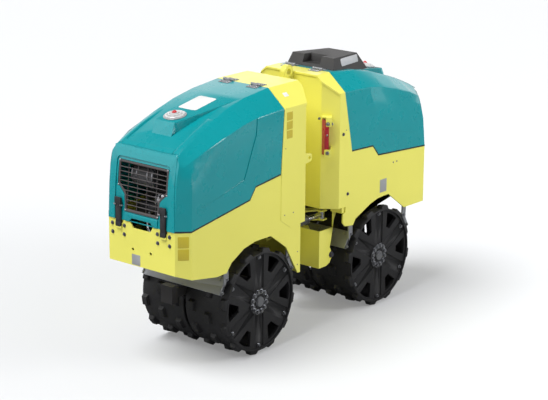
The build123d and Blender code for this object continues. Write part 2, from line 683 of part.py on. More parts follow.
def yoke():
    """Steering tube with the oscillation shaft and the arm that holds the cylinder's rod."""
    low = STEER_LOW_Z + STEER_PLATE + SEAT_GAP
    high = STEER_TOP_Z - STEER_PLATE - SEAT_GAP
    housing_end = REAR_WALL_X - OSC_HOUSING_LONG
    shaft_end = housing_end - OSC_COLLAR_LONG
    body = rod_z(0, 0, STEER_TUBE_R, low, high)
    body += rod_x(0, OSC_Z, OSC_SHAFT_R, shaft_end, 0)
    body += rod_x(0, OSC_Z, OSC_COLLAR_R, shaft_end, housing_end - SEAT_GAP)
    body += rod_x(0, OSC_Z, OSC_COLLAR_R, REAR_WALL_X + SEAT_GAP, -STEER_TUBE_R + 5)
    ear_low = RAM_Z - RAM_EYE_HALF - SEAT_GAP - RAM_EAR
    ear_high = RAM_Z + RAM_EYE_HALF + SEAT_GAP
    ear = [(RAM_EYE_X + x, RAM_Y + y) for x, y in YOKE_EAR] + YOKE_ROOT
    for z in (ear_low, ear_high):
        body += slab_xy(ear, z, z + RAM_EAR)
    body += slab_xy(YOKE_WEB, ear_low, ear_high + RAM_EAR)
    return body - rod_z(0, 0, STEER_PIN_R + RUN_GAP, low - 1, high + 1)


def ram_barrel():
    body = rod_x(RAM_Y, RAM_Z, RAM_R, RAM_BARREL_END_X, RAM_FRONT_X - 26)
    body += rod_x(RAM_Y, RAM_Z, 15, RAM_FRONT_X - 27, RAM_FRONT_X - 12)
    body += rod_z(RAM_FRONT_X, RAM_Y, RAM_EYE_R, RAM_Z - RAM_EYE_HALF, RAM_Z + RAM_EYE_HALF)
    body -= rod_z(RAM_FRONT_X, RAM_Y, RAM_PIN_R + RUN_GAP, RAM_Z - 60, RAM_Z + 60)
    return body - rod_x(RAM_Y, RAM_Z, RAM_ROD_R + RUN_GAP, RAM_BARREL_END_X - 1, RAM_BORE_END_X)


def ram_rod():
    body = rod_x(RAM_Y, RAM_Z, RAM_ROD_R, RAM_EYE_X + 8, RAM_ROD_IN_X)
    return body + rod_z(RAM_EYE_X, RAM_Y, RAM_EYE_R, RAM_Z - RAM_EYE_HALF, RAM_Z + RAM_EYE_HALF)


def ram_bracket():
    low = RAM_Z - RAM_EYE_HALF - SEAT_GAP - RAM_EAR
    high = RAM_Z + RAM_EYE_HALF + SEAT_GAP
    body = box(RAM_FRONT_X + 30, RAM_FRONT_X + 42, RAM_Y - 30, RAM_Y + 30, low, DECK_Z)
    for z in (low, high):
        body += box(RAM_FRONT_X, RAM_FRONT_X + 42, RAM_Y - 22, RAM_Y + 22, z, z + RAM_EAR)
        body += rod_z(RAM_FRONT_X, RAM_Y, 22, z, z + RAM_EAR)
    body += rod_z(RAM_FRONT_X, RAM_Y, RAM_PIN_R, low - 5, high + RAM_EAR + 5)
    return body


def roof_z(way, out):
    """Height of the hood's roof at a true distance from the parting line, close to it."""
    far, _, down, _, _ = HOOD_STATIONS[1]
    return ROOF_Z - down * out / (far * hood_scale(way))


def fixed_hinge(way, y):
    """Leaf and outer knuckles on the bulkhead's cap, with the pin."""
    part_x = PART_X[way]
    axis_x = part_x + way * HINGE_IN
    half, knuckle = HINGE_HALF, KNUCKLE_HALF
    x0, x1 = sorted((part_x - way * 44, axis_x))
    body = box(x0, x1, y - half, y + half, ROOF_Z, ROOF_Z + LEAF)
    body += rod_y(axis_x, HINGE_Z, HINGE_R, y - half, y + half)
    body -= box(part_x - 10, part_x + 10, y - knuckle, y + knuckle, ROOF_Z + LEAF, ROOF_Z + 20)
    x0, x1 = sorted((part_x - way * 6, part_x + way * 12))
    body -= box(x0, x1, y - knuckle, y + knuckle, ROOF_Z - 1, ROOF_Z + 20)
    x0, x1 = sorted((part_x + way * 0.5, part_x + way * 14))
    body -= box(x0, x1, y - half - 8, y + half + 8, ROOF_Z - 9, ROOF_Z + 1)
    return body + rod_y(axis_x, HINGE_Z, HINGE_PIN_R, y - half - 2, y + half + 2)


def moving_hinge(way, y):
    """Leaf and middle knuckle on the hood."""
    part_x = PART_X[way]
    axis_x = part_x + way * HINGE_IN
    half, knuckle = HINGE_HALF, KNUCKLE_HALF - 1
    near, far = 4.0, 46.0
    profile = [(part_x + way * near, roof_z(way, near)), (part_x + way * far, roof_z(way, far)),
               (part_x + way * far, roof_z(way, far) + LEAF),
               (part_x + way * near, roof_z(way, near) + LEAF + 1.5)]
    leaf = slab_xz(profile, y - half, y + half)
    x0, x1 = sorted((axis_x, part_x + way * 13))
    arm = box(x0, x1, y - knuckle, y + knuckle, ROOF_Z + 1, HINGE_Z + 2)
    for side in (-1, 1):
        y0, y1 = sorted((y + side * knuckle, y + side * (half + 8)))
        leaf -= box(part_x - 14, part_x + 14, y0, y1, ROOF_Z - 20, ROOF_Z + 30)
    body = leaf + arm + rod_y(axis_x, HINGE_Z, HINGE_R - 0.5, y - knuckle, y + knuckle)
    return body - rod_y(axis_x, HINGE_Z, HINGE_PIN_R + RUN_GAP, y - half - 8, y + half + 8)


def beacon(way):
    """Round lamp on the boss: white ring with a domed middle."""
    x = along(way, BEACON_AHEAD)
    (a0, _, z0), (a1, _, z1) = TONGUE_START, TONGUE_END
    slope = (z0 - z1) / (a1 - a0)
    z = z0 + SEAT_GAP - (BEACON_AHEAD - a0) * slope
    ring = rod_z(x, 0, BEACON_R, z, z + 8)
    dome = rod_z(x, 0, BEACON_R - 18, z + 8, z + 15) + rod_z(x, 0, BEACON_R - 36, z + 15, z + 26)
    lean = math.degrees(math.atan(slope / hood_scale(way)))
    return tilt_about_y(ring + dome, x, z, way * lean)


LATCH_LOW = {1: 733.0, -1: 788.0}
LATCH_TALL = 151.0
LATCH_PIN = (34.0, 6.0, 24.0)


def latches(way):
    """Rubber draw latches on the hood's end, with their cross pins, over the fascia's notches."""
    end_x = END_X[way]
    z_low = LATCH_LOW[way]
    z_high = z_low + LATCH_TALL
    outer = end_x + way * LATCH_THICK
    heights = [z for z, back in reversed(HOOD_END[way]) if FOOT_Z[way] < z < z_high]
    against = [(face_x(way, z), z) for z in [z_high] + heights + [FOOT_Z[way]]]
    down, pin_r, pin_half = LATCH_PIN
    pieces = []
    for y in (-LATCH_Y, LATCH_Y):
        back = end_x + way * LATCH_GAP
        profile = [(back, z_low), (outer, z_low + 4), (outer, z_high)] + against + [(back, FOOT_Z[way])]
        strap = slab_xz(profile, y - LATCH_HALF, y + LATCH_HALF)
        strap += rod_y(end_x + way * 6, z_high - down, pin_r, y - pin_half, y + pin_half)
        pieces.append(strap)
    return pieces


# Receiver cover: front x and half width, rear x and half width, then heights over the roof's line
COVER_FOOT = (-226.0, 168.0, -583.0, 123.0, -48.0)
COVER_TOP = (-268.0, 139.0, 54.0, -524.0, 95.0, 41.0)
COVER_RECESS = [(-200, 14), (-318, 8), (-336, 102), (-200, 102)]
COVER_RECESS_HALF = 58.0


def receiver_cover():
    """Black cover over the remote control's receiver: a tapered block with a step in its front."""
    fx, fy, bx, by, up = COVER_FOOT
    z = ROOF_Z + up
    foot = make_face(Polyline((fx, -fy, z), (fx, fy, z), (bx, by, z), (bx, -by, z), close=True))
    fx, fy, front_up, bx, by, back_up = COVER_TOP
    fz = ROOF_Z + front_up
    bz = ROOF_Z + back_up
    top = make_face(Polyline((fx, -fy, fz), (fx, fy, fz), (bx, by, bz), (bx, -by, bz), close=True))
    body = loft([foot, top], ruled=True)
    profile = [(x, ROOF_Z + over) for x, over in COVER_RECESS]
    recess = slab_xz(profile, -COVER_RECESS_HALF, COVER_RECESS_HALF)
    return body - recess - hood_form(-1, 0, 700) - tongue(-1, 0)


def lifting_eye():
    plate = box(REAR_WALL_X, EYE_X + EYE_R, -EYE_HALF, EYE_HALF, EYE_Z - 90, EYE_Z)
    plate += rod_y(EYE_X, EYE_Z, EYE_R, -EYE_HALF, EYE_HALF)
    return plate - rod_y(EYE_X, EYE_Z, EYE_HOLE_R, -EYE_HALF - 1, EYE_HALF + 1)


# Lock bar, stowed upright in two brackets on the diagonal wall of the rear bulkhead
LOCK_ALONG = 30.6
LOCK_BRACKETS = ((1062, 1116), (888, 948))
LOCK_PIN_OUT = 30.0
LOCK_PIN_R = 5.0
LOCK_HALF = 9.0
LOCK_NEAR = 18.0
LOCK_FAR = 40.0
LOCK_EAR_HALF = 17.0
LOCK_EAR_OUT = 42.0
LOCK_PLATE = 5.0


def on_diagonal(shape):
    """Carries a piece drawn about the origin, +X outwards, to the diagonal wall of the rear bulkhead."""
    along_x = REAR_CORNER_X - REAR_WALL_X
    along_y = COLUMN_HALF - REAR_WALL_HALF
    long = math.hypot(along_x, along_y)
    x = REAR_WALL_X + along_x * LOCK_ALONG / long
    y = REAR_WALL_HALF + along_y * LOCK_ALONG / long
    return Pos(x, y, 0) * Rot(0, 0, math.degrees(math.atan2(-along_x, along_y))) * shape


def lock_brackets():
    pieces = []
    wide = LOCK_EAR_HALF
    for low, high in LOCK_BRACKETS:
        slot = wide - LOCK_PLATE
        bracket = box(0, LOCK_EAR_OUT, -wide, wide, low, high)
        bracket -= box(LOCK_PLATE, LOCK_EAR_OUT + 1, -slot, slot, low - 1, high + 1)
        pin = rod_y(LOCK_PIN_OUT, (low + high) / 2, LOCK_PIN_R, -wide - 5, wide + 5)
        pieces.append(on_diagonal(bracket + pin))
    return pieces


def lock_bar():
    top = LOCK_BRACKETS[0][1] - 10
    foot = LOCK_BRACKETS[1][0] + 12
    bar = box(LOCK_NEAR, LOCK_FAR, -LOCK_HALF, LOCK_HALF, foot, top)
    for low, high in LOCK_BRACKETS:
        bar -= rod_y(LOCK_PIN_OUT, (low + high) / 2, LOCK_PIN_R + RUN_GAP, -LOCK_HALF - 1, LOCK_HALF + 1)
    return on_diagonal(bar)


# Engine and tank as plain blocks on their decks: x from, x to, half width, height of the top
ENGINE = (470.0, 850.0, 165.0, 1010.0)
TANK = (-800.0, -330.0, 215.0, 880.0)
SILENCER = (935.0, 985.0, 62.0)
SILENCER_SPAN = (-130.0, 20.0)
SILENCER_STAY = (-80.0, -40.0, 960.0, 1000.0)


def block_on_deck(x0, x1, half, top_z):
    return box(x0, x1, -half, half, DECK_Z + PLATE, top_z)


def silencer():
    x, z, r = SILENCER
    y0, y1, z0, z1 = SILENCER_STAY
    return rod_y(x, z, r, *SILENCER_SPAN) + box(ENGINE[1], x, y0, y1, z0, z1)


CENTRE_BOX_HALF = 38.0
CENTRE_BOX_UP = (31.0, 123.0)


def centre_box():
    low, high = CENTRE_BOX_UP
    half = CENTRE_BOX_HALF
    return box(CENTRE_BOX_X, CENTRE_BOX_X + CENTRE_BOX_LONG, -half, half, DRUM_Z + low, DRUM_Z + high)


# Build

keep("front_chassis", front_chassis())
keep("rear_chassis", rear_chassis())
keep("front_bulkhead", front_bulkhead())
keep("rear_bulkhead", rear_bulkhead())
SCRAPER_TOPS = {"front": (545, 560), "rear": (560, 540)}
for half_name, x in DRUM_X.items():
    keep(half_name + "_drum_left", drum_half(x, 1))
    keep(half_name + "_drum_right", drum_half(x, -1))
    keep(half_name + "_drum_discs", drum_disc(x, 1), drum_disc(x, -1))
    keep(half_name + "_axle_shaft", axle_shaft(x))
    keep(half_name + "_axle_carrier", axle_carrier(x))
    ahead_top, behind_top = SCRAPER_TOPS[half_name]
    keep(half_name + "_scrapers", scraper(x, 1, ahead_top), scraper(x, -1, behind_top))
for way, half_name in HALF_NAME.items():
    keep(half_name + "_hood", hood(way))
    keep(half_name + "_grille", grille(way))
    keep(half_name + "_cap_hinges", *[fixed_hinge(way, y) for y in HINGE_Y])
    keep(half_name + "_hood_hinges", *[moving_hinge(way, y) for y in HINGE_Y])
    keep(half_name + "_beacon", beacon(way))
    keep(half_name + "_latches", *latches(way))
keep("steering_bracket", steering_bracket())
keep("steering_pin", steering_pin())
keep("articulation_yoke", yoke())
keep("steering_cylinder_barrel", ram_barrel())
keep("steering_cylinder_rod", ram_rod())
keep("steering_cylinder_bracket", ram_bracket())
keep("receiver_cover", receiver_cover())
keep("lifting_eye", lifting_eye())
keep("lock_brackets", lock_brackets())
keep("lock_bar", lock_bar())
keep("engine_block", block_on_deck(*ENGINE))
keep("exhaust_silencer", silencer())
keep("hydraulic_tank", block_on_deck(*TANK))
keep("front_centre_box", centre_box())

os.makedirs("parts", exist_ok=True)
for name, shape in NODES.items():
    export_step(shape, "parts/" + name + ".step")
    print(name, len(shape.solids()), round(shape.volume / 1e6, 3))
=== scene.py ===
import json
import math

import bmesh
import bpy
import numpy as np
from bpy.props import FloatProperty, FloatVectorProperty, PointerProperty
from mathutils import Matrix, Vector


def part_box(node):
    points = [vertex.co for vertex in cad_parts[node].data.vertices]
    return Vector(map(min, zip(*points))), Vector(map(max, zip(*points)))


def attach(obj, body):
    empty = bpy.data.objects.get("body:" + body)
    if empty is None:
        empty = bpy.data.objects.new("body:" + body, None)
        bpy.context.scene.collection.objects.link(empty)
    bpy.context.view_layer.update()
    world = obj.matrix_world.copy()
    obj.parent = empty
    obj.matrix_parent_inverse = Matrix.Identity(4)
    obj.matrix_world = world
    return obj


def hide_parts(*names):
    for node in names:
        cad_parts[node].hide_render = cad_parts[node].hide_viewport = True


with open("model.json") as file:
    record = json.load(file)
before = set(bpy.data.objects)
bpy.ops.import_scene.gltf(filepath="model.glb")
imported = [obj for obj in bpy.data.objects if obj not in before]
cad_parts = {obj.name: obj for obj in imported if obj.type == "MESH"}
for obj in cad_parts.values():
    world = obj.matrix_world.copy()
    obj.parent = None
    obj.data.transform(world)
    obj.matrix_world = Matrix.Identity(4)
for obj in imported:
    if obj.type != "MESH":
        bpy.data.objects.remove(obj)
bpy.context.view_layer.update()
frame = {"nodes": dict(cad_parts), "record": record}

bl_info = {
    "name": "Trench roller finish",
    "version": (1, 0, 0),
    "blender": (4, 5, 0),
    "location": "3D View > Sidebar > Trench roller",
    "description": "Paint, fasteners and small trim for an articulated padfoot trench roller",
    "category": "Object",
}

# Metres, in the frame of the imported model: X = 0 under the middle of the machine, +X to the
# engine half, Z = 0 on the ground. Places of the drawing are millimetres, with x counted from the
# steering pivot; the frame's zero stands at x = ZERO_X and z = ZERO_Z of the drawing.

MM = 0.001
ZERO_X, ZERO_Z = 39.0, 12.0
UP = np.array([0.0, 0.0, 1.0])
BODY_OF = {node: body for body, nodes in frame["record"]["behaviour"]["bodies"].items() for node in nodes}
SLOT_OF = {sub["node"]: sub["material_slot"] for sub in frame["record"]["subparts"]}


# Finishes


def new_finish(name, roughness, metallic=0.0, coat=0.0, coat_roughness=0.1, specular=0.5):
    """A material whose constant numbers stand on the shader's own sockets."""
    material = bpy.data.materials.new(name)
    material.use_nodes = True
    tree = material.node_tree
    shader = tree.nodes["Principled BSDF"]
    shader.inputs["Roughness"].default_value = roughness
    shader.inputs["Metallic"].default_value = metallic
    shader.inputs["Coat Weight"].default_value = coat
    shader.inputs["Coat Roughness"].default_value = coat_roughness
    shader.inputs["Specular IOR Level"].default_value = specular
    return material, tree, shader, tree.nodes.new("ShaderNodeTexCoord").outputs["Object"]


def noise(tree, place, scale, detail=3.0, roughness=0.5, stretch=None):
    """Noise on the object's own coordinates, stretched along an axis if asked."""
    if stretch:
        mapping = tree.nodes.new("ShaderNodeMapping")
        mapping.inputs["Scale"].default_value = stretch
        tree.links.new(place, mapping.inputs["Vector"])
        place = mapping.outputs["Vector"]
    node = tree.nodes.new("ShaderNodeTexNoise")
    node.inputs["Scale"].default_value = scale
    node.inputs["Detail"].default_value = detail
    node.inputs["Roughness"].default_value = roughness
    tree.links.new(place, node.inputs["Vector"])
    return node.outputs["Fac"]


def spread(tree, value, low, high, out_low, out_high):
    """Maps a value's span to another span."""
    node = tree.nodes.new("ShaderNodeMapRange")
    for socket, number in (("From Min", low), ("From Max", high), ("To Min", out_low), ("To Max", out_high)):
        node.inputs[socket].default_value = number
    tree.links.new(value, node.inputs["Value"])
    return node.outputs["Result"]


def worked_out(tree, operation, first, second):
    """A number worked out from two sockets."""
    node = tree.nodes.new("ShaderNodeMath")
    node.operation = operation
    tree.links.new(first, node.inputs[0])
    tree.links.new(second, node.inputs[1])
    return node.outputs["Value"]


def blend(tree, factor, first, second, kind="RGBA"):
    """Two colours, or two numbers for the kind FLOAT, mixed by a factor; each is a value or a socket."""
    node = tree.nodes.new("ShaderNodeMix")
    node.data_type = kind
    tree.links.new(factor, node.inputs["Factor"])
    for socket, value in ((node.inputs["A"], first), (node.inputs["B"], second)):
        if isinstance(value, bpy.types.NodeSocket):
            tree.links.new(value, socket)
        else:
            socket.default_value = (*value, 1.0) if kind == "RGBA" else value
    return node.outputs["Result"]


def bump(tree, shader, height, distance):
    """Relief in the shader's normal, from a height socket and its full height in metres."""
    node = tree.nodes.new("ShaderNodeBump")
    node.inputs["Distance"].default_value = distance
    node.inputs["Strength"].default_value = 1.0
    tree.links.new(height, node.inputs["Height"])
    tree.links.new(node.outputs["Normal"], shader.inputs["Normal"])


def shade(colour, factor):
    """A colour made darker or lighter."""
    return tuple(min(1.0, channel * factor) for channel in colour)


def sprayed(name, colour, roughness, coat, drift, gloss, peel):
    """Paint: its tone and its gloss drift a little and its skin is uneven. coat is its weight, roughness
    and specular level; drift a noise and two shades; gloss and peel a noise and a reach."""
    material, tree, shader, place = new_finish(name, roughness, 0.0, *coat)
    tone = spread(tree, noise(tree, place, *drift[0]), 0.3, 0.7, 0.0, 1.0)
    tone = blend(tree, tone, shade(colour, drift[1]), shade(colour, drift[2]))
    tree.links.new(tone, shader.inputs["Base Color"])
    sheen = spread(tree, noise(tree, place, *gloss[0]), 0.3, 0.7, roughness - gloss[1], roughness + 0.05)
    tree.links.new(sheen, shader.inputs["Roughness"])
    bump(tree, shader, noise(tree, place, *peel[0]), peel[1])
    return material


def enamel(name, colour, roughness=0.34, coat=0.5):
    """Sprayed enamel with a fine orange peel."""
    return sprayed(name, colour, roughness, (coat, 0.12, 0.5), ((2.2, 4.0), 0.975, 1.02), ((9.0, 5.0), 0.04),
                   ((420.0, 2.0), 0.00002))


def moulded_skin(name, colour, roughness=0.28):
    """Painted moulding: smooth, with a clear sheen and faint waves."""
    return sprayed(name, colour, roughness, (0.7, 0.07, 0.45), ((1.6, 3.0), 0.97, 1.03), ((14.0, 4.0), 0.03),
                   ((7.0, 1.0), 0.00008))


def cast_iron(name, colour, roughness=0.5):
    """Painted casting: grainy sand skin, worn paler where the grain stands up."""
    material, tree, shader, place = new_finish(name, roughness, specular=0.3)
    grain = noise(tree, place, 260.0, 6.0, 0.65)
    drift = noise(tree, place, 7.0, 5.0)
    worn = blend(tree, spread(tree, grain, 0.52, 0.72, 0.0, 0.55), colour, shade(colour, 1.6))
    tone = blend(tree, spread(tree, drift, 0.35, 0.7, 0.0, 0.6), worn, shade(colour, 0.75))
    tree.links.new(tone, shader.inputs["Base Color"])
    sheen = spread(tree, drift, 0.3, 0.7, roughness - 0.08, roughness + 0.12)
    tree.links.new(sheen, shader.inputs["Roughness"])
    bump(tree, shader, grain, 0.0006)
    return material


def plate_steel(name, colour, roughness=0.4, metallic=0.5):
    """Rolled plate or turned steel: fine streaks along its length and a mottled sheen."""
    material, tree, shader, place = new_finish(name, roughness, metallic)
    streak = noise(tree, place, 60.0, 5.0, 0.6, stretch=(1.0, 8.0, 8.0))
    tree.links.new(blend(tree, streak, shade(colour, 0.8), shade(colour, 1.15)), shader.inputs["Base Color"])
    sheen = spread(tree, noise(tree, place, 18.0, 4.0), 0.3, 0.7, roughness - 0.08, roughness + 0.14)
    tree.links.new(sheen, shader.inputs["Roughness"])
    bump(tree, shader, streak, 0.00005)
    return material


def grained_plastic(name, colour, roughness, grain_depth):
    """Moulded plastic with a fine leather-like grain."""
    material, tree, shader, place = new_finish(name, roughness)
    cells = tree.nodes.new("ShaderNodeTexVoronoi")
    cells.inputs["Scale"].default_value = 700.0
    tree.links.new(place, cells.inputs["Vector"])
    tone = blend(tree, noise(tree, place, 12.0, 4.0), shade(colour, 0.85), shade(colour, 1.2))
    tree.links.new(tone, shader.inputs["Base Color"])
    bump(tree, shader, cells.outputs["Distance"], grain_depth)
    return material


def black_rubber_finish(name, colour):
    """Matt rubber with a dusty bloom."""
    material, tree, shader, place = new_finish(name, 0.7, specular=0.3)
    bloom = spread(tree, noise(tree, place, 30.0, 6.0, 0.6), 0.4, 0.75, 0.0, 0.5)
    tree.links.new(blend(tree, bloom, colour, shade(colour, 2.0)), shader.inputs["Base Color"])
    bump(tree, shader, noise(tree, place, 500.0, 3.0), 0.00015)
    return material


FINISHES = {}


def finishes():
    """Makes each finish once, from the colours in the sidebar."""
    if FINISHES:
        return FINISHES
    paint = bpy.context.scene.roller_paint
    FINISHES.update({
        "chassis_paint": enamel("yellow_enamel", paint.chassis),
        "hood_paint": moulded_skin("teal_moulding", paint.hood),
        "black_steel": enamel("black_enamel", paint.black_steel, 0.42, 0.1),
        "bare_steel": plate_steel("plate_steel", paint.plate),
        "chrome_rod": plate_steel("chromed_rod", (0.75, 0.76, 0.78), 0.12, 1.0),
        "dark_paint": enamel("dark_enamel", paint.dark_paint, 0.38, 0.2),
        "drum_iron": cast_iron("drum_casting", paint.drum),
        "lamp_plastic": moulded_skin("lamp_shell", paint.lamp, 0.15),
        "lamp_seat": enamel("lamp_seat", (0.40, 0.41, 0.42), 0.4),
        "black_rubber": black_rubber_finish("latch_rubber", paint.rubber),
        "black_plastic": grained_plastic("cover_plastic", paint.cover, 0.5, 0.00012),
        "red_paint": enamel("red_enamel", paint.lock_bar, 0.3, 0.4),
        "engine_metal": cast_iron("engine_casting", (0.10, 0.10, 0.105), 0.45),
        "zinc": plate_steel("zinc_plating", (0.46, 0.47, 0.50), 0.3, 0.95),
        "dark_zinc": plate_steel("dark_zinc", (0.20, 0.20, 0.28), 0.35, 0.8),
        "grille_enamel": enamel("grille_enamel", (0.085, 0.075, 0.076), 0.4, 0.1),
        "red_lens": moulded_skin("red_lens", (0.62, 0.02, 0.03), 0.2),
        "white_label": moulded_skin("white_label", (0.85, 0.85, 0.84), 0.35),
        "yellow_label": moulded_skin("yellow_label", (0.62, 0.50, 0.03), 0.4),
        "grey_plate": plate_steel("grey_plate", (0.42, 0.43, 0.45), 0.45, 0.3),
        "window_plastic": grained_plastic("window_plastic", (0.52, 0.53, 0.55), 0.35, 0.00015),
    })
    return FINISHES


def wear(obj, slot_name, finish_name=None):
    """Gives an object one finish: the one named, or else the one of its slot's name."""
    obj.data.materials.clear()
    obj.data.materials.append(finishes()[finish_name or slot_name])


# Shapes, worked out as whole arrays


def at(x, y, z):
    """Places in metres, from the drawing's millimetres; each is a number or an array."""
    return np.stack(np.broadcast_arrays(x - ZERO_X, y, z - ZERO_Z), axis=-1) / 1000.0


def skin(rings, around=True, along=False):
    """Four-sided faces between neighbouring rings of points; closed around, and along if asked."""
    rows, count = rings.shape[:2]
    row_steps = rows if along else rows - 1
    column_steps = count if around else count - 1
    i, j = np.meshgrid(np.arange(row_steps), np.arange(column_steps), indexing="ij")
    i2, j2 = (i + 1) % rows, (j + 1) % count
    quads = np.stack([i * count + j, i * count + j2, i2 * count + j2, i2 * count + j], axis=-1)
    return rings.reshape(-1, 3), [quads.reshape(-1, 4)]


def capped(rings):
    """A skin with a flat face on its first and its last ring."""
    points, faces = skin(rings)
    rows, count = rings.shape[:2]
    first = np.arange(count)[None, ::-1]
    return points, faces + [first, first[:, ::-1] + (rows - 1) * count]


def turned(profile, origin, axis, sides=24, ring=False, unit=MM):
    """Surface of revolution. A profile point (r, t) goes round the axis: origin + t times the axis +
    r times (cos a, sin a) across it. As a ring the profile itself is closed."""
    axis = np.asarray(axis, float) / np.linalg.norm(axis)
    helper = UP if abs(axis[2]) < 0.9 else np.array([1.0, 0.0, 0.0])
    across = np.cross(helper, axis)
    across /= np.linalg.norm(across)
    upward = np.cross(axis, across)
    angle = np.arange(sides) * 2.0 * np.pi / sides
    circle = np.cos(angle)[:, None] * across + np.sin(angle)[:, None] * upward
    profile = np.asarray(profile, float) * unit
    reach, place = profile[:, 0, None, None], profile[:, 1, None, None]
    return skin(np.asarray(origin, float) + place * axis + reach * circle[None], along=ring)


def rounded(points, radii, steps=4):
    """Outline with each corner c turned into the curve (1-s)^2 a + 2 s (1-s) c + s^2 b between the
    places a and b that lie one radius back and one radius on along its two sides."""
    points = np.asarray(points, float)
    radii = np.broadcast_to(np.asarray(radii, float), (len(points),))[:, None]
    back = np.roll(points, 1, axis=0) - points
    on = np.roll(points, -1, axis=0) - points
    first = points + back / np.linalg.norm(back, axis=1)[:, None] * radii
    last = points + on / np.linalg.norm(on, axis=1)[:, None] * radii
    s = np.linspace(0.0, 1.0, steps)[None, :, None]
    curve = (1 - s) ** 2 * first[:, None] + 2 * s * (1 - s) * points[:, None] + s ** 2 * last[:, None]
    return curve.reshape(-1, 2)


def drawn_in(outline, distance):
    """Outline moved inwards by a distance: each corner goes along the sum of its two sides' normals,
    divided by 1 plus their dot product. The outline runs anticlockwise."""
    side = np.roll(outline, -1, axis=0) - outline
    side /= np.maximum(np.linalg.norm(side, axis=1), 1e-12)[:, None]
    normal = np.stack([-side[:, 1], side[:, 0]], axis=1)
    before = np.roll(normal, 1, axis=0)
    dot = np.sum(normal * before, axis=1)
    return outline + (normal + before) * (distance / np.maximum(1.0 + dot, 0.2))[:, None]


def stand(outline, height, origin, u, v):
    """Carries outline points (a, b) to origin + a u + b v + height times the normal."""
    u, v = np.asarray(u, float), np.asarray(v, float)
    return np.asarray(origin, float) + outline[:, :1] * u + outline[:, 1:] * v + height * np.cross(u, v)


def plate(outline, thick, origin, u, v, edge=0.0006):
    """Flat plate: the outline stands at heights 0 to the thickness, drawn in at both rims in a small
    quarter round of two chords."""
    half = edge * 0.3
    steps = ((edge, 0.0), (half, half), (0.0, edge), (0.0, thick - edge), (half, thick - half), (edge, thick))
    return capped(np.stack([stand(drawn_in(outline, inset), high, origin, u, v) for inset, high in steps]))


def rectangle(a0, a1, b0, b1):
    """Outline of a rectangle."""
    return np.array([(a0, b0), (a1, b0), (a1, b1), (a0, b1)], float)


def slab(sides, corner, thick, origin, u, v, edge=0.6, steps=4):
    """Plate over a rectangle with rounded corners; its sizes are millimetres."""
    outline = rounded(rectangle(*sides), corner, steps) * MM
    return plate(outline, thick * MM, origin, u, v, edge * MM)


def rail(outline, section, origin, u, v):
    """Closed rail along an outline: each section point (inset, height) gives one ring."""
    rings = np.stack([stand(drawn_in(outline, inset), high, origin, u, v) for inset, high in section])
    return skin(rings, along=True)


def rod(place, axis, radius, long):
    """Plain round rod, in metres."""
    return turned([(0, 0), (radius, 0), (radius, long), (0, long)], place, axis, 10, unit=1.0)


def tube(path, radius, sides=14):
    """Round tube along a path of points: at each one a circle stands across the mean direction of the
    two runs that meet there. The ends close on their middles."""
    path = np.asarray(path, float)
    run = np.gradient(path, axis=0)
    run /= np.linalg.norm(run, axis=1)[:, None]
    helper = np.array([0.0, 1.0, 0.0]) if abs(run[:, 1]).max() < 0.8 else np.array([0.31, 0.0, 0.95])
    first = np.cross(helper, run)
    first /= np.linalg.norm(first, axis=1)[:, None]
    second = np.cross(run, first)
    angle = np.arange(sides) * 2.0 * np.pi / sides
    circle = np.cos(angle)[None, :, None] * first[:, None] + np.sin(angle)[None, :, None] * second[:, None]
    rings = path[:, None] + circle * radius
    ends = [path[end, None, None] + 0 * rings[:1] for end in (0, -1)]
    return skin(np.concatenate([ends[0], rings, ends[1]]))


def curve_through(places, steps=8):
    """Smooth path through places of the drawing: between neighbours p1 and p2 the cubic with the slopes
    (p2 - p0)/2 and (p3 - p1)/2."""
    points = at(*np.array(places, float).T)
    padded = np.concatenate([2 * points[:1] - points[1:2], points, 2 * points[-1:] - points[-2:-1]])
    t = np.linspace(0.0, 1.0, steps, endpoint=False)[None, :, None]
    a, b, c, d = (p[:, None] for p in (padded[:-3], padded[1:-2], padded[2:-1], padded[3:]))
    second, third = 2 * a - 5 * b + 4 * c - d, 3 * b - a - 3 * c + d
    path = 0.5 * (2 * b + (c - a) * t + second * t ** 2 + third * t ** 3)
    return np.concatenate([path.reshape(-1, 3), points[-1:]])


def strip(path, outward, upward, section):
    """Profile carried along an open path: at each point the section's (a, b) goes to a times the
    outward arrow + b times the upward arrow. The ends are flat."""
    path, outward, upward, section = (np.asarray(part, float) for part in (path, outward, upward, section))
    a, b = section[None, :, :1], section[None, :, 1:]
    return capped(path[:, None] + a * outward[:, None] + b * upward[:, None])


WASHER = ((0, 0), (1.55, 0), (1.62, 0.08), (1.55, 0.24), (0, 0.24))
BOLT_HEAD = ((0, 0.24), (1.12, 0.24), (1.12, 0.92), (0.98, 1.08), (0.3, 1.08), (0, 1.04))


def bolt(place, axis, size):
    """Hexagon bolt head on its washer; size is the width of the head."""
    return [turned(WASHER, place, axis, 20, unit=size / 2), turned(BOLT_HEAD, place, axis, 6, unit=size / 2)]


def domed(place, axis, size):
    """Button head: a quarter of an ellipse over its foot."""
    r, high, sunk = size / 2, 0.45 * size / 2, 0.0005
    turn = np.linspace(0.0, np.pi / 2, 6)[:-1]
    dome = np.stack([r * np.cos(turn), high * np.sin(turn)], axis=1)
    return [turned(np.concatenate([[(0, -sunk), (r, -sunk)], dome, [(0, high)]]), place, axis, 20, unit=1.0)]


def ray(degrees):
    """Arrow in a drum's plane, turned by an angle a from straight up towards the engine half:
    (sin a, 0, cos a)."""
    return np.array([math.sin(math.radians(degrees)), 0.0, math.cos(math.radians(degrees))])


# Objects


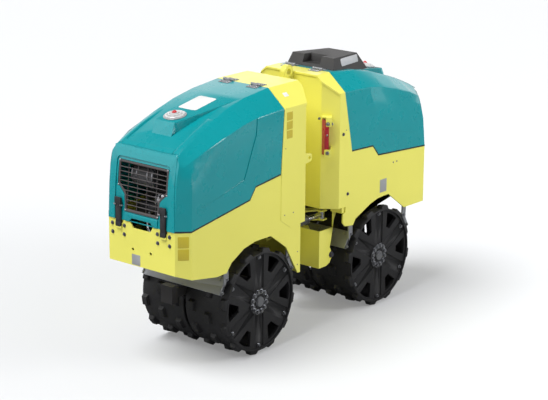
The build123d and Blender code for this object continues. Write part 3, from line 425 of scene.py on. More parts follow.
def mesh_of(name, parts):
    """Mesh of all the parts, its doubles merged and its faces turned outwards."""
    points = np.concatenate([part[0] for part in parts])
    faces = []
    start = 0
    for part_points, groups in parts:
        for group in groups:
            faces.extend((group + start).tolist())
        start += len(part_points)
    mesh = bpy.data.meshes.new(name)
    mesh.from_pydata(points.tolist(), [], faces)
    build = bmesh.new()
    build.from_mesh(mesh)
    bmesh.ops.remove_doubles(build, verts=build.verts, dist=0.000002)
    bmesh.ops.recalc_face_normals(build, faces=build.faces)
    build.to_mesh(mesh)
    build.free()
    return mesh


def linked(name, data):
    """A new object in the scene."""
    obj = bpy.data.objects.new(name, data)
    bpy.context.scene.collection.objects.link(obj)
    return obj


def make(name, body, slot_name, parts, finish_name=None, smooth=32.0, replaces=()):
    """One finished piece from its parts, its edges sharp from an angle."""
    mesh = mesh_of(name, parts)
    mesh.shade_smooth()
    mesh.set_sharp_from_angle(angle=math.radians(smooth))
    obj = linked(name, mesh)
    wear(obj, slot_name, finish_name)
    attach(obj, body)
    if replaces:
        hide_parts(*replaces)


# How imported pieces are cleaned: distance at which points merge, turn up to which faces are joined, and
# turns from which an edge is sharp
MERGED = 0.00002
JOINED_DEGREES = 0.08
SHARP_DEGREES = 28.0
UPRIGHT_SHARP_DEGREES = 16.0


def crease_uprights(mesh):
    """Marks a hood's upright corners sharp, also where they turn less than other sharp edges."""
    build = bmesh.new()
    build.from_mesh(mesh)
    for edge in build.edges:
        run = edge.verts[1].co - edge.verts[0].co
        if abs(run.z) > 0.8 * run.length and edge.calc_face_angle(0.0) > math.radians(UPRIGHT_SHARP_DEGREES):
            edge.smooth = False
    build.to_mesh(mesh)
    build.free()


def rounded_off(obj, width, cutter):
    """The object's mesh with the cutter's shape cut out of it, if there is one, and its edges rounded."""
    if cutter:
        opening = obj.modifiers.new("opening", "BOOLEAN")
        opening.operation = "DIFFERENCE"
        opening.solver = "EXACT"
        opening.object = cutter
    rounding = obj.modifiers.new("edges", "BEVEL")
    rounding.width = width
    rounding.segments = 2
    rounding.limit_method = "ANGLE"
    rounding.angle_limit = math.radians(SHARP_DEGREES)
    rounding.use_clamp_overlap = True
    rounding.harden_normals = True
    rounding.miter_outer = "MITER_SHARP"
    depsgraph = bpy.context.evaluated_depsgraph_get()
    final = bpy.data.meshes.new_from_object(obj.evaluated_get(depsgraph))
    obj.modifiers.clear()
    return final


def softened(node, width, cutter=None):
    """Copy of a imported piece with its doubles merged. Apart from a disc's, its flat faces are joined and
    its edges rounded off."""
    plain = node.endswith("_discs")
    mesh = frame["nodes"][node].data.copy()
    mesh.name = node + "_surface"
    build = bmesh.new()
    build.from_mesh(mesh)
    bmesh.ops.remove_doubles(build, verts=build.verts, dist=MERGED)
    if not plain:
        bmesh.ops.dissolve_limit(
            build, angle_limit=math.radians(JOINED_DEGREES), verts=build.verts, edges=build.edges,
            use_dissolve_boundaries=False,
        )
    build.to_mesh(mesh)
    build.free()
    mesh.validate()
    mesh.shade_smooth()
    mesh.set_sharp_from_angle(angle=math.radians(SHARP_DEGREES))
    if node.endswith("_hood"):
        crease_uprights(mesh)
    obj = linked(node + "_surface", mesh)
    if not plain:
        obj.data = rounded_off(obj, width, cutter)
        obj.data.name = node + "_surface"
    wear(obj, SLOT_OF[node])
    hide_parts(node)
    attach(obj, BODY_OF[node])


# Values of the drawing

WAYS = {"front": 1, "rear": -1}
DRUM_X = {"front": 496.0, "rear": -515.0}
DRUM_Z = 289.0
SHELL_R = 260.0
SHELL_IN_R = 250.0
SHELL_SPAN = (9.0, 288.0)
LUG_COUNT = 12
LUG_ROWS = (56.0, 160.5, 265.0)
SECTOR_Y = 277.0
CHANNEL_Y = 271.0
BODY_HALF = 276.0
COLUMN_HALF = 278.0
FASCIA_HALF = 219.5
END_X = {"front": 1061.0, "rear": -983.0}
PART_X = {"front": 306.0, "rear": -189.0}
ROOF_Z = 1348.0
HOOD_LEAN = {
    "front": ((700, 771, 861, 929, 1019, 1078, 1133, 1500), (0, 0, 4, 8, 17, 28, 42, 135)),
    "rear": ((700, 826, 990, 1090, 1157, 1500), (0, 0, 20, 52, 84, 260)),
}
HOOD_STRETCH = {"front": 1.0, "rear": 774.0 / 735.0}
HOOD_AHEAD = (0, 190, 320, 450, 560, 660, 765)
HOOD_ROOF_HALF = (170, 172, 178, 186, 193, 198, 200)
HOOD_ROOF_Z = (1348, 1328, 1300, 1257, 1213, 1167, 1110)
# Opening under a grille: half widths below and above, and how far it reaches below and above the rim
HOOD_MOUTH = (84, 63, 8, 19)


def face_x(half, z):
    """X of a hood's leaning end at a height."""
    return END_X[half] - WAYS[half] * float(np.interp(z, *HOOD_LEAN[half]))


def end_frame(half, z):
    """A place on a hood's end and its two arrows, across and up along the lean."""
    way = WAYS[half]
    lean = math.atan2(abs(face_x(half, z + 20) - face_x(half, z - 20)), 40.0)
    upward = np.array([-way * math.sin(lean), 0.0, math.cos(lean)])
    return at(face_x(half, z), 0, z), np.array([0.0, way, 0.0]), upward


# Values in the sidebar


class RollerPaint(bpy.types.PropertyGroup):
    chassis: FloatVectorProperty(
        name="Chassis paint", description="Colour of chassis and bulkheads", subtype="COLOR",
        default=(0.90, 0.855, 0.15), min=0.0, max=1.0,
    )
    hood: FloatVectorProperty(
        name="Hood paint", description="Colour of both hoods", subtype="COLOR",
        default=(0.001, 0.315, 0.35), min=0.0, max=1.0,
    )
    drum: FloatVectorProperty(
        name="Drum casting", description="Colour of drums and discs", subtype="COLOR",
        default=(0.027, 0.027, 0.0285), min=0.0, max=1.0,
    )
    plate: FloatVectorProperty(
        name="Scraper plate", description="Colour of bare plates", subtype="COLOR",
        default=(0.33, 0.34, 0.36), min=0.0, max=1.0,
    )
    black_steel: FloatVectorProperty(
        name="Black steel", description="Colour of grilles and carriers", subtype="COLOR",
        default=(0.035, 0.033, 0.034), min=0.0, max=1.0,
    )
    dark_paint: FloatVectorProperty(
        name="Dark paint", description="Colour of cylinder and tank", subtype="COLOR",
        default=(0.05, 0.05, 0.055), min=0.0, max=1.0,
    )
    lamp: FloatVectorProperty(
        name="Lamp ring", description="Colour of the lamps' rings", subtype="COLOR",
        default=(0.66, 0.66, 0.66), min=0.0, max=1.0,
    )
    rubber: FloatVectorProperty(
        name="Rubber", description="Colour of the latches", subtype="COLOR",
        default=(0.03, 0.03, 0.033), min=0.0, max=1.0,
    )
    cover: FloatVectorProperty(
        name="Receiver cover", description="Colour of the receiver's cover", subtype="COLOR",
        default=(0.04, 0.038, 0.038), min=0.0, max=1.0,
    )
    lock_bar: FloatVectorProperty(
        name="Lock bar", description="Colour of the lock bar", subtype="COLOR",
        default=(0.44, 0.016, 0.03), min=0.0, max=1.0,
    )


class RollerTrim(bpy.types.PropertyGroup):
    edge: FloatProperty(
        name="Plate edge", description="Rounding of plate edges", subtype="DISTANCE", unit="LENGTH",
        default=0.0012, min=0.0001, max=0.01,
    )
    lug_round: FloatProperty(
        name="Lug corners", description="Extra rounding of the lugs' corners", subtype="DISTANCE", unit="LENGTH",
        default=0.0005, min=0.0, max=0.003,
    )
    bolt_wide: FloatProperty(
        name="Bolt heads", description="Width of the hexagon heads", subtype="DISTANCE", unit="LENGTH",
        default=0.015, min=0.005, max=0.03,
    )
    screw_wide: FloatProperty(
        name="Screw heads", description="Width of the button heads", subtype="DISTANCE", unit="LENGTH",
        default=0.012, min=0.003, max=0.03,
    )
    rod_wide: FloatProperty(
        name="Grille rods", description="Thickness of the grilles' rods", subtype="DISTANCE", unit="LENGTH",
        default=0.0045, min=0.001, max=0.01,
    )
    # Height of the black strip on the hoods' rims, which paints the shade in the gap under them
    gap_strip_high: FloatProperty(
        name="Gap shade strip", description="Height of the edging on the hoods' rims", subtype="DISTANCE", unit="LENGTH",
        default=0.007, min=0.002, max=0.02,
    )
    surround_rise: FloatProperty(
        name="Surround", description="Height of the surround on a hood's end", subtype="DISTANCE", unit="LENGTH",
        default=0.0065, min=0.001, max=0.01,
    )
    lip_high: FloatProperty(
        name="Cap lip", description="Height of the folded lip of a cap", subtype="DISTANCE", unit="LENGTH",
        default=0.011, min=0.003, max=0.03,
    )
    label_thick: FloatProperty(
        name="Labels", description="Thickness of the blank labels", subtype="DISTANCE", unit="LENGTH",
        default=0.0006, min=0.0001, max=0.003,
    )


class RollerStage(bpy.types.PropertyGroup):
    lens: FloatProperty(
        name="Lens", description="Focal length of the camera in millimetres", default=123.1, min=20.0, max=300.0,
    )
    key_strength: FloatProperty(
        name="Key light", description="Strength of the high soft light", default=3.3, min=0.0, max=10.0,
    )
    key_spread: FloatProperty(
        name="Key spread", description="Angle over which the high light spreads", subtype="ANGLE", unit="ROTATION",
        default=math.radians(38.0), min=0.0, max=math.pi,
    )
    side_power: FloatProperty(
        name="Side light", description="Power of the soft box beside the machine", unit="POWER", default=130.0, min=0.0,
    )
    world_strength: FloatProperty(
        name="World", description="Strength of the light from all round", default=0.3, min=0.0, max=2.0,
    )
    floor_glow: FloatProperty(
        name="Floor glow", description="Light that the camera sees on the floor beside its own", default=0.31,
        min=0.0, max=1.0,
    )


# Pieces

NEW_FORMS = ("lock_bar", "lock_brackets", "_drum_left", "_drum_right", "_grille", "_latches", "_beacon")
# How far inside a hood's end the cutter starts, in millimetres, and its depth in metres
MOUTH_BACK = 95.0
MOUTH_DEEP = 0.125


def mouth_cutter(half):
    """Solid of the opening under a hood's grille, through its end wall."""
    low_half, high_half, below, above = HOOD_MOUTH
    low, high = HOOD_LEAN[half][0][1] - below, HOOD_LEAN[half][0][1] + above
    mouth = np.array([(-low_half, low), (low_half, low), (high_half, high), (-high_half, high)]) * MM
    origin = at(END_X[half] - WAYS[half] * MOUTH_BACK, 0, ZERO_Z)
    across = np.array([0.0, WAYS[half], 0.0])
    return linked("cutter", mesh_of("cutter", [plate(mouth, MOUTH_DEEP, origin, across, UP, 0.0001)]))


class TRENCHROLLER_OT_panels(bpy.types.Operator):
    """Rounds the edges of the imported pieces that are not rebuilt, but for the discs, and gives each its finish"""
    bl_idname = "trenchroller.panels"
    bl_label = "Panels and castings"

    def execute(self, context):
        width = context.scene.roller_trim.edge
        for node in sorted(frame["nodes"]):
            if node.endswith(NEW_FORMS):
                continue
            cutter = mouth_cutter(node.split("_")[0]) if node.endswith("_hood") else None
            softened(node, width, cutter)
            if cutter:
                bpy.data.objects.remove(cutter)
        return {"FINISHED"}


# Half length, half width, corner and distance from the drum's axis
LUG_LEVELS = (
    (33.0, 22.0, 5.0, 254.0), (32.0, 21.0, 5.0, 258.5), (24.6, 16.6, 3.6, 274.2), (24.0, 16.0, 3.4, 276.2),
    (22.8, 14.8, 3.0, 277.0),
)


def lug_block(extra):
    """The rings of a lug, from its root to its top, with its corners rounded by an extra radius."""
    rings = []
    for long, wide, corner, reach in LUG_LEVELS:
        outline = rounded(rectangle(-long, long, -wide, wide), corner + extra)
        rings.append(np.column_stack([outline, np.full(len(outline), reach)]))
    return np.stack(rings) * MM


def lug(block, foot, radial):
    """A lug over a place on a drum's axis: a point (a, b, c) of its block goes to foot + a times the
    tangent + b times the drum's axis + c times the arrow out of the axis."""
    tangent = np.array([radial[2], 0.0, -radial[0]])
    along, across, out = np.split(block, 3, axis=-1)
    return capped(foot + along * tangent + across * (0.0, 1.0, 0.0) + out * radial)


class TRENCHROLLER_OT_drums(bpy.types.Operator):
    """Casts the four drum shells with their rows of rounded lugs"""
    bl_idname = "trenchroller.drums"
    bl_label = "Drums"

    def execute(self, context):
        block = lug_block(context.scene.roller_trim.lug_round / MM)
        y0, y1 = SHELL_SPAN
        shell = [(SHELL_IN_R, y0 + 1), (SHELL_IN_R + 1, y0), (SHELL_R - 2.5, y0), (SHELL_R - 0.7, y0 + 0.7),
                 (SHELL_R, y0 + 2.5), (SHELL_R, y1 - 4), (SHELL_R - 1.2, y1 - 1.2), (SHELL_R - 4, y1),
                 (SHELL_IN_R + 1, y1), (SHELL_IN_R, y1 - 1)]
        for half, x in DRUM_X.items():
            for hand in ("left", "right"):
                node = f"{half}_drum_{hand}"
                side = 1.0 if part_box(node)[0].y > 0 else -1.0
                centre = at(x, 0, DRUM_Z)
                parts = [turned(np.array(shell) * (1.0, side), centre, (0, 1, 0), 180, ring=True)]
                for row, y in enumerate(LUG_ROWS):
                    foot = centre + np.array([0.0, side * y * MM, 0.0])
                    for number in range(LUG_COUNT):
                        radial = ray((number + side * row / len(LUG_ROWS)) * 360.0 / LUG_COUNT)
                        parts.append(lug(block, foot, radial))
                make(node + "_casting", f"{half}_drum", "drum_iron", parts, smooth=40.0, replaces=(node,))
        return {"FINISHED"}


AXLE_CAP = ((0, 6.8), (14, 6.8), (16, 8.2), (22, 8.6), (24.5, 9.6), (24.8, 10.2), (0, 10.4))
PAD_R = 236.0
HUB_BOLT_R = 54.0
HUB_BEAD = ((66, -0.2), (72.5, -0.2), (72.5, 1.2), (71.5, 2.2), (67, 2.2), (66, 1.2))


class TRENCHROLLER_OT_wheel_fittings(bpy.types.Operator):
    """Puts the bolts and their pads, the bead at the hub and the axle's cap on every disc"""
    bl_idname = "trenchroller.wheel_fittings"
    bl_label = "Disc bolts and caps"

    def execute(self, context):
        wide = context.scene.roller_trim.bolt_wide
        for half, x in DRUM_X.items():
            bolts, pads = [], []
            for side in (-1.0, 1.0):
                out = np.array([0.0, side, 0.0])
                for number in range(6):
                    radial = ray(60.0 * number)
                    foot = at(x, side * CHANNEL_Y, DRUM_Z) + radial * PAD_R * MM
                    bolts += bolt(foot + out * 2.5 * MM, out, wide)
                    across = -np.cross(out, radial)
                    pads.append(slab((-17, 17, -13, 13), 4, 2.8, foot - out * 0.3 * MM, across, radial, 0.8))
                hub = at(x, side * SECTOR_Y, DRUM_Z)
                for number in range(12):
                    bolts += bolt(hub + ray(30.0 * number + 15.0) * HUB_BOLT_R * MM, out, wide * 1.25)
                bolts.append(turned(AXLE_CAP, hub, out, 36))
                pads.append(turned(HUB_BEAD, hub, out, 72, ring=True))
            make(f"{half}_disc_bolts", f"{half}_drum", "bare_steel", bolts, "zinc")
            make(f"{half}_disc_pads", f"{half}_drum", "drum_iron", pads)
        return {"FINISHED"}


GRILLE = np.array([(-165, 1070), (165, 1070), (165, 948), (118, 902), (112, 817), (-112, 817), (-118, 902),
                   (-165, 948)], float)
GRILLE_CORNERS = np.array([12, 12, 8, 10, 8, 14, 14, 8])
GRILLE_FRAME = np.array([(0, -4), (0, 2.2), (0.8, 3.4), (3, 4.2), (8, 4.2), (10.2, 3.4), (11, 2.2), (11, -4)])
GRILLE_MIDDLE = 943.5
GRILLE_UP = {"front": 0.0, "rear": 30.0}
GRILLE_TOP_ROD = 1035.0
GRILLE_PITCH = 22.8
GRILLE_UPRIGHTS = (-102.0, -39.0, 24.0, 87.0)
GRILLE_SCREWS = ((159, 120.5), (160, -1), (106.5, -119.5))


class TRENCHROLLER_OT_grilles(bpy.types.Operator):
    """Makes the grille frames with their rods and corner screws"""
    bl_idname = "trenchroller.grilles"
    bl_label = "Grilles"

    def execute(self, context):
        trim = context.scene.roller_trim
        thin = trim.rod_wide / 2
        for half in WAYS:
            origin, across, upward = end_frame(half, GRILLE_MIDDLE + GRILLE_UP[half])
            normal = np.cross(across, upward)
            origin = origin - normal * 5.0 * MM
            corners = (GRILLE - (0, GRILLE_MIDDLE))[::-1] * 0.992 * MM
            outline = rounded(corners, GRILLE_CORNERS * MM, 5)
            parts = [rail(outline, GRILLE_FRAME * MM, origin, across, upward)]
            edge = drawn_in(outline, 6.0 * MM)
            right = edge[edge[:, 0] > 0]
            right = right[np.argsort(right[:, 1])]
            for number in range(10):
                high = (GRILLE_TOP_ROD - GRILLE_PITCH * number - GRILLE_MIDDLE) * MM
                reach = float(np.interp(high, right[:, 1], right[:, 0]))
                parts.append(rod(origin + upward * high - across * reach, across, thin, 2 * reach))
            for sideways in GRILLE_UPRIGHTS:
                place = origin + across * sideways * MM - upward * 118.0 * MM - normal * trim.rod_wide * 0.8
                parts.append(rod(place, upward, thin, 238.0 * MM))
            make(f"{half}_grille_work", f"{half}_hood", "black_steel", parts, "grille_enamel",
                 replaces=(f"{half}_grille",))
            screws = []
            for sideways, high in GRILLE_SCREWS:
                for side in (-1, 1):
                    place = origin + across * side * sideways * MM + upward * high * MM + normal * 4.0 * MM
                    screws += domed(place, normal, trim.screw_wide)
            make(f"{half}_grille_screws", f"{half}_hood", "bare_steel", screws, "zinc")
        return {"FINISHED"}


LATCH_Y = 148.0
LATCH_LOW = {"front": 733.0, "rear": 788.0}
# Half width, low and high end, near and far face, corner
LATCH_STRAPS = (
    (17.5, 0, 104, 1.0, 9.5, 3), (13, 98, 122, 1.0, 10.5, 2), (20.5, 116, 151, 1.5, 12.9, 3),
    (17.5, 2, 26, 4.0, 11.5, 4), (14.5, 30, 98, 9.0, 10.6, 3),
)
LATCH_PIN = ((0, -29), (3.6, -29), (4.6, -28), (4.6, -23), (3, -22.5), (3, 22.5), (4.6, 23), (4.6, 28),
             (3.6, 29), (0, 29))
LATCH_RING = ((3.2, 14.5), (6.2, 14.5), (6.4, 15), (6.4, 19), (6.2, 19.5), (3.2, 19.5))


class TRENCHROLLER_OT_latches(bpy.types.Operator):
    """Moulds the rubber draw latches with their cross pins"""
    bl_idname = "trenchroller.latches"
    bl_label = "Latches"

    def execute(self, context):
        for half, way in WAYS.items():
            rubber, pins, flaps = [], [], []
            out, across = np.array([way, 0.0, 0.0]), np.array([0.0, way, 0.0])
            for y in (-LATCH_Y, LATCH_Y):
                foot = at(END_X[half], y, LATCH_LOW[half])
                for wide, low, high, near, far, corner in LATCH_STRAPS:
                    sides, place = (-wide, wide, low, high), foot + out * near * MM
                    rubber.append(slab(sides, corner, far - near, place, across, UP, 1.4))
                flaps.append(slab((-20, 20, -7, 6), 5, 10.4, foot + out * 0.3 * MM, across, UP, 1.4))
                pin = foot + UP * 112 * MM + out * 6.6 * MM
                pins.append(turned(LATCH_PIN, pin, across, 16))
                for side in (-1, 1):
                    pins.append(turned(np.array(LATCH_RING) * (1, side), pin, across, 20, ring=True))
            make(f"{half}_latch_straps", f"{half}_hood", "black_rubber", rubber,
                 replaces=(f"{half}_latches",))
            make(f"{half}_latch_pins", f"{half}_hood", "bare_steel", pins, "zinc")
            make(f"{half}_latch_hooks", f"{half}_frame", "chassis_paint", flaps)
        return {"FINISHED"}


LAMP_AHEAD = 508.0
TONGUE_AHEAD = (172.0, 580.0)
TONGUE_Z = (1329.5, 1256.0)
LAMP_SEAT = ((0, 0.3), (56.5, 0.3), (58, 1.2), (58, 4.2), (56.8, 5.4), (52.5, 6.2), (51.5, 5.2), (49.5, 5.2),
             (49, 4), (0, 4))
LAMP_RING = ((50.4, 5.0), (50.2, 8.6), (48.4, 10.8), (45, 12.0), (41, 12.0), (39.5, 8.0), (37, 8.0),
             (35.5, 15.6), (32, 17.2), (27, 17.6), (24.8, 12.0), (22.6, 12.0), (21, 19.4), (17.5, 20.6),
             (14.6, 19.8), (13.2, 16.6), (13.2, 4.5), (50.4, 4.5))
LAMP_BUTTON = ((0, 4.2), (12.6, 4.2), (12.6, 17), (11.8, 20.6), (9.6, 24.6), (6, 27.8), (2.8, 29.2),
               (0, 29.6))


def tongue_frame(half, ahead, y=0.0):
    """A place on the tongue on a hood's roof and its arrows: along the fall, and across."""
    way, stretch = WAYS[half], HOOD_STRETCH[half]
    fall = (TONGUE_Z[0] - TONGUE_Z[1]) / ((TONGUE_AHEAD[1] - TONGUE_AHEAD[0]) * stretch)
    lean = math.atan(fall)
    z = TONGUE_Z[0] - (ahead - TONGUE_AHEAD[0]) * stretch * fall
    along = np.array([way * math.cos(lean), 0.0, -math.sin(lean)])
    return at(PART_X[half] + way * ahead * stretch, y, z), along, np.array([0.0, way, 0.0])


class TRENCHROLLER_OT_lamps(bpy.types.Operator):
    """Turns the lamps: seat, clear ring with its steps, and the red button in the middle"""
    bl_idname = "trenchroller.lamps"
    bl_label = "Lamps"

    def execute(self, context):
        for half in WAYS:
            origin, along, across = tongue_frame(half, LAMP_AHEAD)
            up = np.cross(along, across)
            seat, button = turned(LAMP_SEAT, origin, up, 64), turned(LAMP_BUTTON, origin, up, 40)
            ring = turned(LAMP_RING, origin, up, 64, ring=True)
            make(f"{half}_lamp_seat", f"{half}_hood", "lamp_plastic", [seat], "lamp_seat",
                 replaces=(f"{half}_beacon",))
            make(f"{half}_lamp_lens", f"{half}_hood", "lamp_plastic", [ring])
            make(f"{half}_lamp_button", f"{half}_hood", "lamp_plastic", [button], "red_lens")
        return {"FINISHED"}


END_BOLTS = {
    "front": ((-195, 743), (-114, 743), (-193, 698), (-115, 698), (107, 743), (186, 743), (108, 698),
              (186, 698)),
    "rear": ((-195, 760), (-114, 760), (107, 760), (186, 760)),
}
# Head, x, distance from the middle, z and share of the head's width in the sidebar, on both sides
SIDE_HEADS = {
    "front": ((domed, 296, COLUMN_HALF, 1048, 0.5), (domed, 230, COLUMN_HALF, 700, 0.6),
              (domed, 300, COLUMN_HALF, 700, 0.6), (domed, 190, BODY_HALF, 480, 0.6),
              (domed, 190, BODY_HALF, 410, 0.6)),
    "rear": ((bolt, -180, COLUMN_HALF, 1032, 0.8), (domed, -205, COLUMN_HALF, 1050, 0.55),
             (bolt, -225, COLUMN_HALF, 700, 0.8), (bolt, -191, 200, 356, 1.5),
             (domed, -633, BODY_HALF, 790, 0.8), (domed, -666, BODY_HALF, 790, 0.8)),
}
HINGE_SCREWS_Y = (-112.0, -72.0, 72.0, 112.0)
HINGE_SCREWS_BACK = (16.0, 34.0)
HINGE_SCREWS_AHEAD = (20.0, 36.0)


class TRENCHROLLER_OT_hardware(bpy.types.Operator):
    """Drives the bolts and screws that hold hinges, fascias, columns and nose"""
    bl_idname = "trenchroller.hardware"
    bl_label = "Bolts and screws"

    def execute(self, context):
        trim = context.scene.roller_trim
        for half, way in WAYS.items():
            heads, moving, fixed = [], [], []
            for y, z in END_BOLTS[half]:
                heads += bolt(at(END_X[half], y, z), (way, 0, 0), trim.bolt_wide * 0.86)
            for side in (-1, 1):
                for head, x, y, z, share in SIDE_HEADS[half]:
                    wide = trim.bolt_wide if head is bolt else trim.screw_wide
                    heads += head(at(x, side * y, z), (0, side, 0), wide * share)
            make(f"{half}_frame_bolts", f"{half}_frame", "bare_steel", heads, "dark_zinc")
            fall = (HOOD_ROOF_Z[0] - HOOD_ROOF_Z[1]) / (HOOD_AHEAD[1] * HOOD_STRETCH[half])
            normal = (way * math.sin(math.atan(fall)), 0, math.cos(math.atan(fall)))
            for y in HINGE_SCREWS_Y:
                for back in HINGE_SCREWS_BACK:
                    fixed += domed(at(PART_X[half] - way * back, y, ROOF_Z + 3.0), UP, trim.screw_wide)
                for ahead in HINGE_SCREWS_AHEAD:
                    place = at(PART_X[half] + way * ahead, y, ROOF_Z + 3.4 - ahead * fall)
                    moving += domed(place, normal, trim.screw_wide)
            make(f"{half}_hinge_screws", f"{half}_hood", "bare_steel", moving, "zinc")
            make(f"{half}_cap_screws", f"{half}_frame", "bare_steel", fixed, "zinc")
        return {"FINISHED"}


LOCK_TURN = math.atan2(62.0, 78.0)
LOCK_ROOT = (-107.05, 223.96)
LOCK_OUT = np.array([math.cos(LOCK_TURN), math.sin(LOCK_TURN), 0.0])
LOCK_ACROSS = np.array([-math.sin(LOCK_TURN), math.cos(LOCK_TURN), 0.0])
LOCK_BAR = ((9, -25), (34, -14), (40, -12), (40, 11), (22, 11), (22, -9), (9, -18))
# Reach out of the wall, reach across it, low and high end
LOCK_BRACKETS = (
    (0.4, 5, -27, 25, 1087, 1139), (4, 41, -27, 25, 1134, 1139), (4, 41, 20.5, 25, 1092, 1136),
    (0.4, 5, -14, 24, 924, 982), (4, 41, -14, 24, 924, 929), (4, 41, 19.5, 24, 927, 976),
)
# Head, reach out of the wall and across it, height, arrow and width
LOCK_HEADS = (
    (bolt, 43.2, 4, 1103, LOCK_OUT, 0.013), (bolt, 43.2, 4, 947, LOCK_OUT, 0.013),
    (bolt, 30, 25, 1101, LOCK_ACROSS, 0.013), (domed, 40, 1, 1041, LOCK_OUT, 0.010),
    (bolt, 0.4, -40, 1122, LOCK_OUT, 0.009),
)


def lock_place(out, across, z):
    """A place on the diagonal wall of the tank half: how far out of it and across it, and the height."""
    x, y, _ = out * LOCK_OUT + across * LOCK_ACROSS
    return at(LOCK_ROOT[0] + x, LOCK_ROOT[1] + y, z)


def lock_prism(outline, low, high):
    """Upright bar on that wall, from an outline of places out of it and across it."""
    foot = lock_place(0, 0, low)
    return plate(np.array(outline) * MM, (high - low) * MM, foot, LOCK_OUT, LOCK_ACROSS, 0.0008)


class TRENCHROLLER_OT_lock_fittings(bpy.types.Operator):
    """Bends the stowed lock bar and its brackets and fits their bolts"""
    bl_idname = "trenchroller.lock_fittings"
    bl_label = "Lock fittings"

    def execute(self, context):
        bar = lock_prism(LOCK_BAR, 934, 1123)
        make("lock_bar_channel", "rear_frame", "red_paint", [bar], replaces=("lock_bar",))
        brackets = [lock_prism(rectangle(*sides), low, high) for *sides, low, high in LOCK_BRACKETS]
        for sides in ((-6, 25, 1088, 1139), (-13, 24, 924, 966)):
            brackets.append(slab(sides, 8, 3, lock_place(40.2, 0, 0), LOCK_ACROSS, UP, steps=5))
        make("lock_brackets_bent", "rear_frame", "chassis_paint", brackets, replaces=("lock_brackets",))
        parts = []
        for head, out, across, z, arrow, wide in LOCK_HEADS:
            parts += head(lock_place(out, across, z), arrow, wide)
        make("lock_pins", "rear_frame", "bare_steel", parts, "zinc")
        return {"FINISHED"}


# Body, place, two arrows, half sizes along them and finish
LABELS = (
    ("front_frame", (266, 278, 1212), (0, 0, 1), (1, 0, 0), 21, 23, "yellow_label"),
    ("front_frame", (266, 278, 1165), (0, 0, 1), (1, 0, 0), 21, 23, "yellow_label"),
    ("front_frame", (266, 278, 1118), (0, 0, 1), (1, 0, 0), 21, 23, "yellow_label"),
    ("front_frame", (1032, 248.5, 722), (0, 0, 1), (0.71, -0.704, 0), 28, 27, "yellow_label"),
    ("front_frame", (1032, 248.5, 660), (0, 0, 1), (0.71, -0.704, 0), 28, 27, "yellow_label"),
    ("front_frame", (228, 223, 1301.5), (0, -0.7518, 0.6595), (1, 0, 0), 20, 17, "white_label"),
    ("front_frame", (1061, -38, 582), (0, 1, 0), (0, 0, 1), 28, 27, "grey_plate"),
    ("rear_frame", (-545, 276, 678), (0, 0, 1), (1, 0, 0), 36, 30, "grey_plate"),
)


class TRENCHROLLER_OT_blank_labels(bpy.types.Operator):
    """Lays the blank labels and plates on roof, columns, corner and sides"""
    bl_idname = "trenchroller.blank_labels"
    bl_label = "Blank labels"

    def execute(self, context):
        thick = context.scene.roller_trim.label_thick / MM
        for number, (body, place, u, v, half_u, half_v, finish) in enumerate(LABELS, 1):
            u, v = (np.array(arrow, float) / np.linalg.norm(arrow) for arrow in (u, v))
            foot = at(*place) + np.cross(u, v) * 0.0001
            part = slab((-half_u, half_u, -half_v, half_v), 3, thick, foot, u, v, 0.1)
            make(f"blank_label_{number}", body, "chassis_paint", [part], finish)
        origin, along, across = tongue_frame("front", 334.0, -8.0)
        foot = origin + np.cross(along, across) * 0.0002
        part = slab((-84, 84, -58, 58), 16, thick, foot, along, across, 0.1, 6)
        make("roof_blank_label", "front_hood", "hood_paint", [part], "white_label")
        return {"FINISHED"}


SEAMS = {
    "front": ((332, 919), (527, 896), (571, 837), (1004, 771)),
    "rear": ((-261, 925), (-445, 917), (-496, 857), (-926, 826)),
}


class TRENCHROLLER_OT_gap_shade_strips(bpy.types.Operator):
    """Runs a black rubber strip along each hood's lower rim, round the corners to the latches: painted shade for the
    gap between hood and chassis
    """
    bl_idname = "trenchroller.seam_rubbers"
    bl_label = "Seam rubbers"

    def execute(self, context):
        high = context.scene.roller_trim.gap_strip_high / MM
        section = np.array([(-1.2, -1.4), (0.9, -1.4), (1.2, 0), (1.2, high - 1.8), (0.6, high - 1.4),
                            (-1.2, high - 1.4)]) * MM
        for half, way in WAYS.items():
            parts = []
            foot = SEAMS[half][-1][1]
            for side in (-1.0, 1.0):
                path = [at(x, side * BODY_HALF, z) for x, z in SEAMS[half]]
                path += [at(END_X[half], side * FASCIA_HALF, foot), at(END_X[half], side * 172.0, foot)]
                outward = [(0, side, 0)] * 3 + [(way * 0.412, side, 0), (way, side * 0.4167, 0), (way, 0, 0)]
                parts.append(strip(path, outward, [UP] * 6, section))
            # The black strip paints the shade in the gap between hood and chassis.
            make(f"{half}_gap_shade_strip", f"{half}_hood", "black_rubber", parts, smooth=25.0)
        return {"FINISHED"}


CLAMP_BAND = ((62.2, -4), (64.5, -4), (65, -3), (65, 3), (64.5, 4), (62.2, 4))
PUMP = ((0, 0), (30, 0), (34, 3), (34, 22), (30, 26), (22, 28), (20, 40), (12, 44), (0, 45))
PUMP_AXIS = (1, 0, 0.15)
HOSE_CAP = ((0, 0), (12, 0), (13, 2), (13, 16), (9, 18), (9, 26), (0, 27))
# Profile of a dark cup behind a tie hole: painted shade
TIE_HOLE_SHADE_CUP = ((8.6, -22), (0, -22), (0, -24), (11, -24), (11, 0), (8.6, 0))
ENGINE_HOSES = (
    (0.011, ((935, 128, 946), (975, 126, 930), (985, 108, 880), (970, 80, 840), (940, 40, 830))),
    (0.012, ((935, 70, 906), (972, 66, 890), (978, 40, 850), (965, -20, 825), (940, -60, 815))),
)
DRAIN_PIPE = ((985, -12, 815), (992, -13, 790), (998, -15, 762), (1010, -4, 742), (1022, 22, 728),
              (1026, 52, 722))
CLAMPS_Y = (-122.0, -90.0, -20.0, 12.0)
HOSE_CAPS_YZ = ((95, 950), (128, 946), (70, 906))
TIE_HOLES_Y = (-59.0, 59.0)


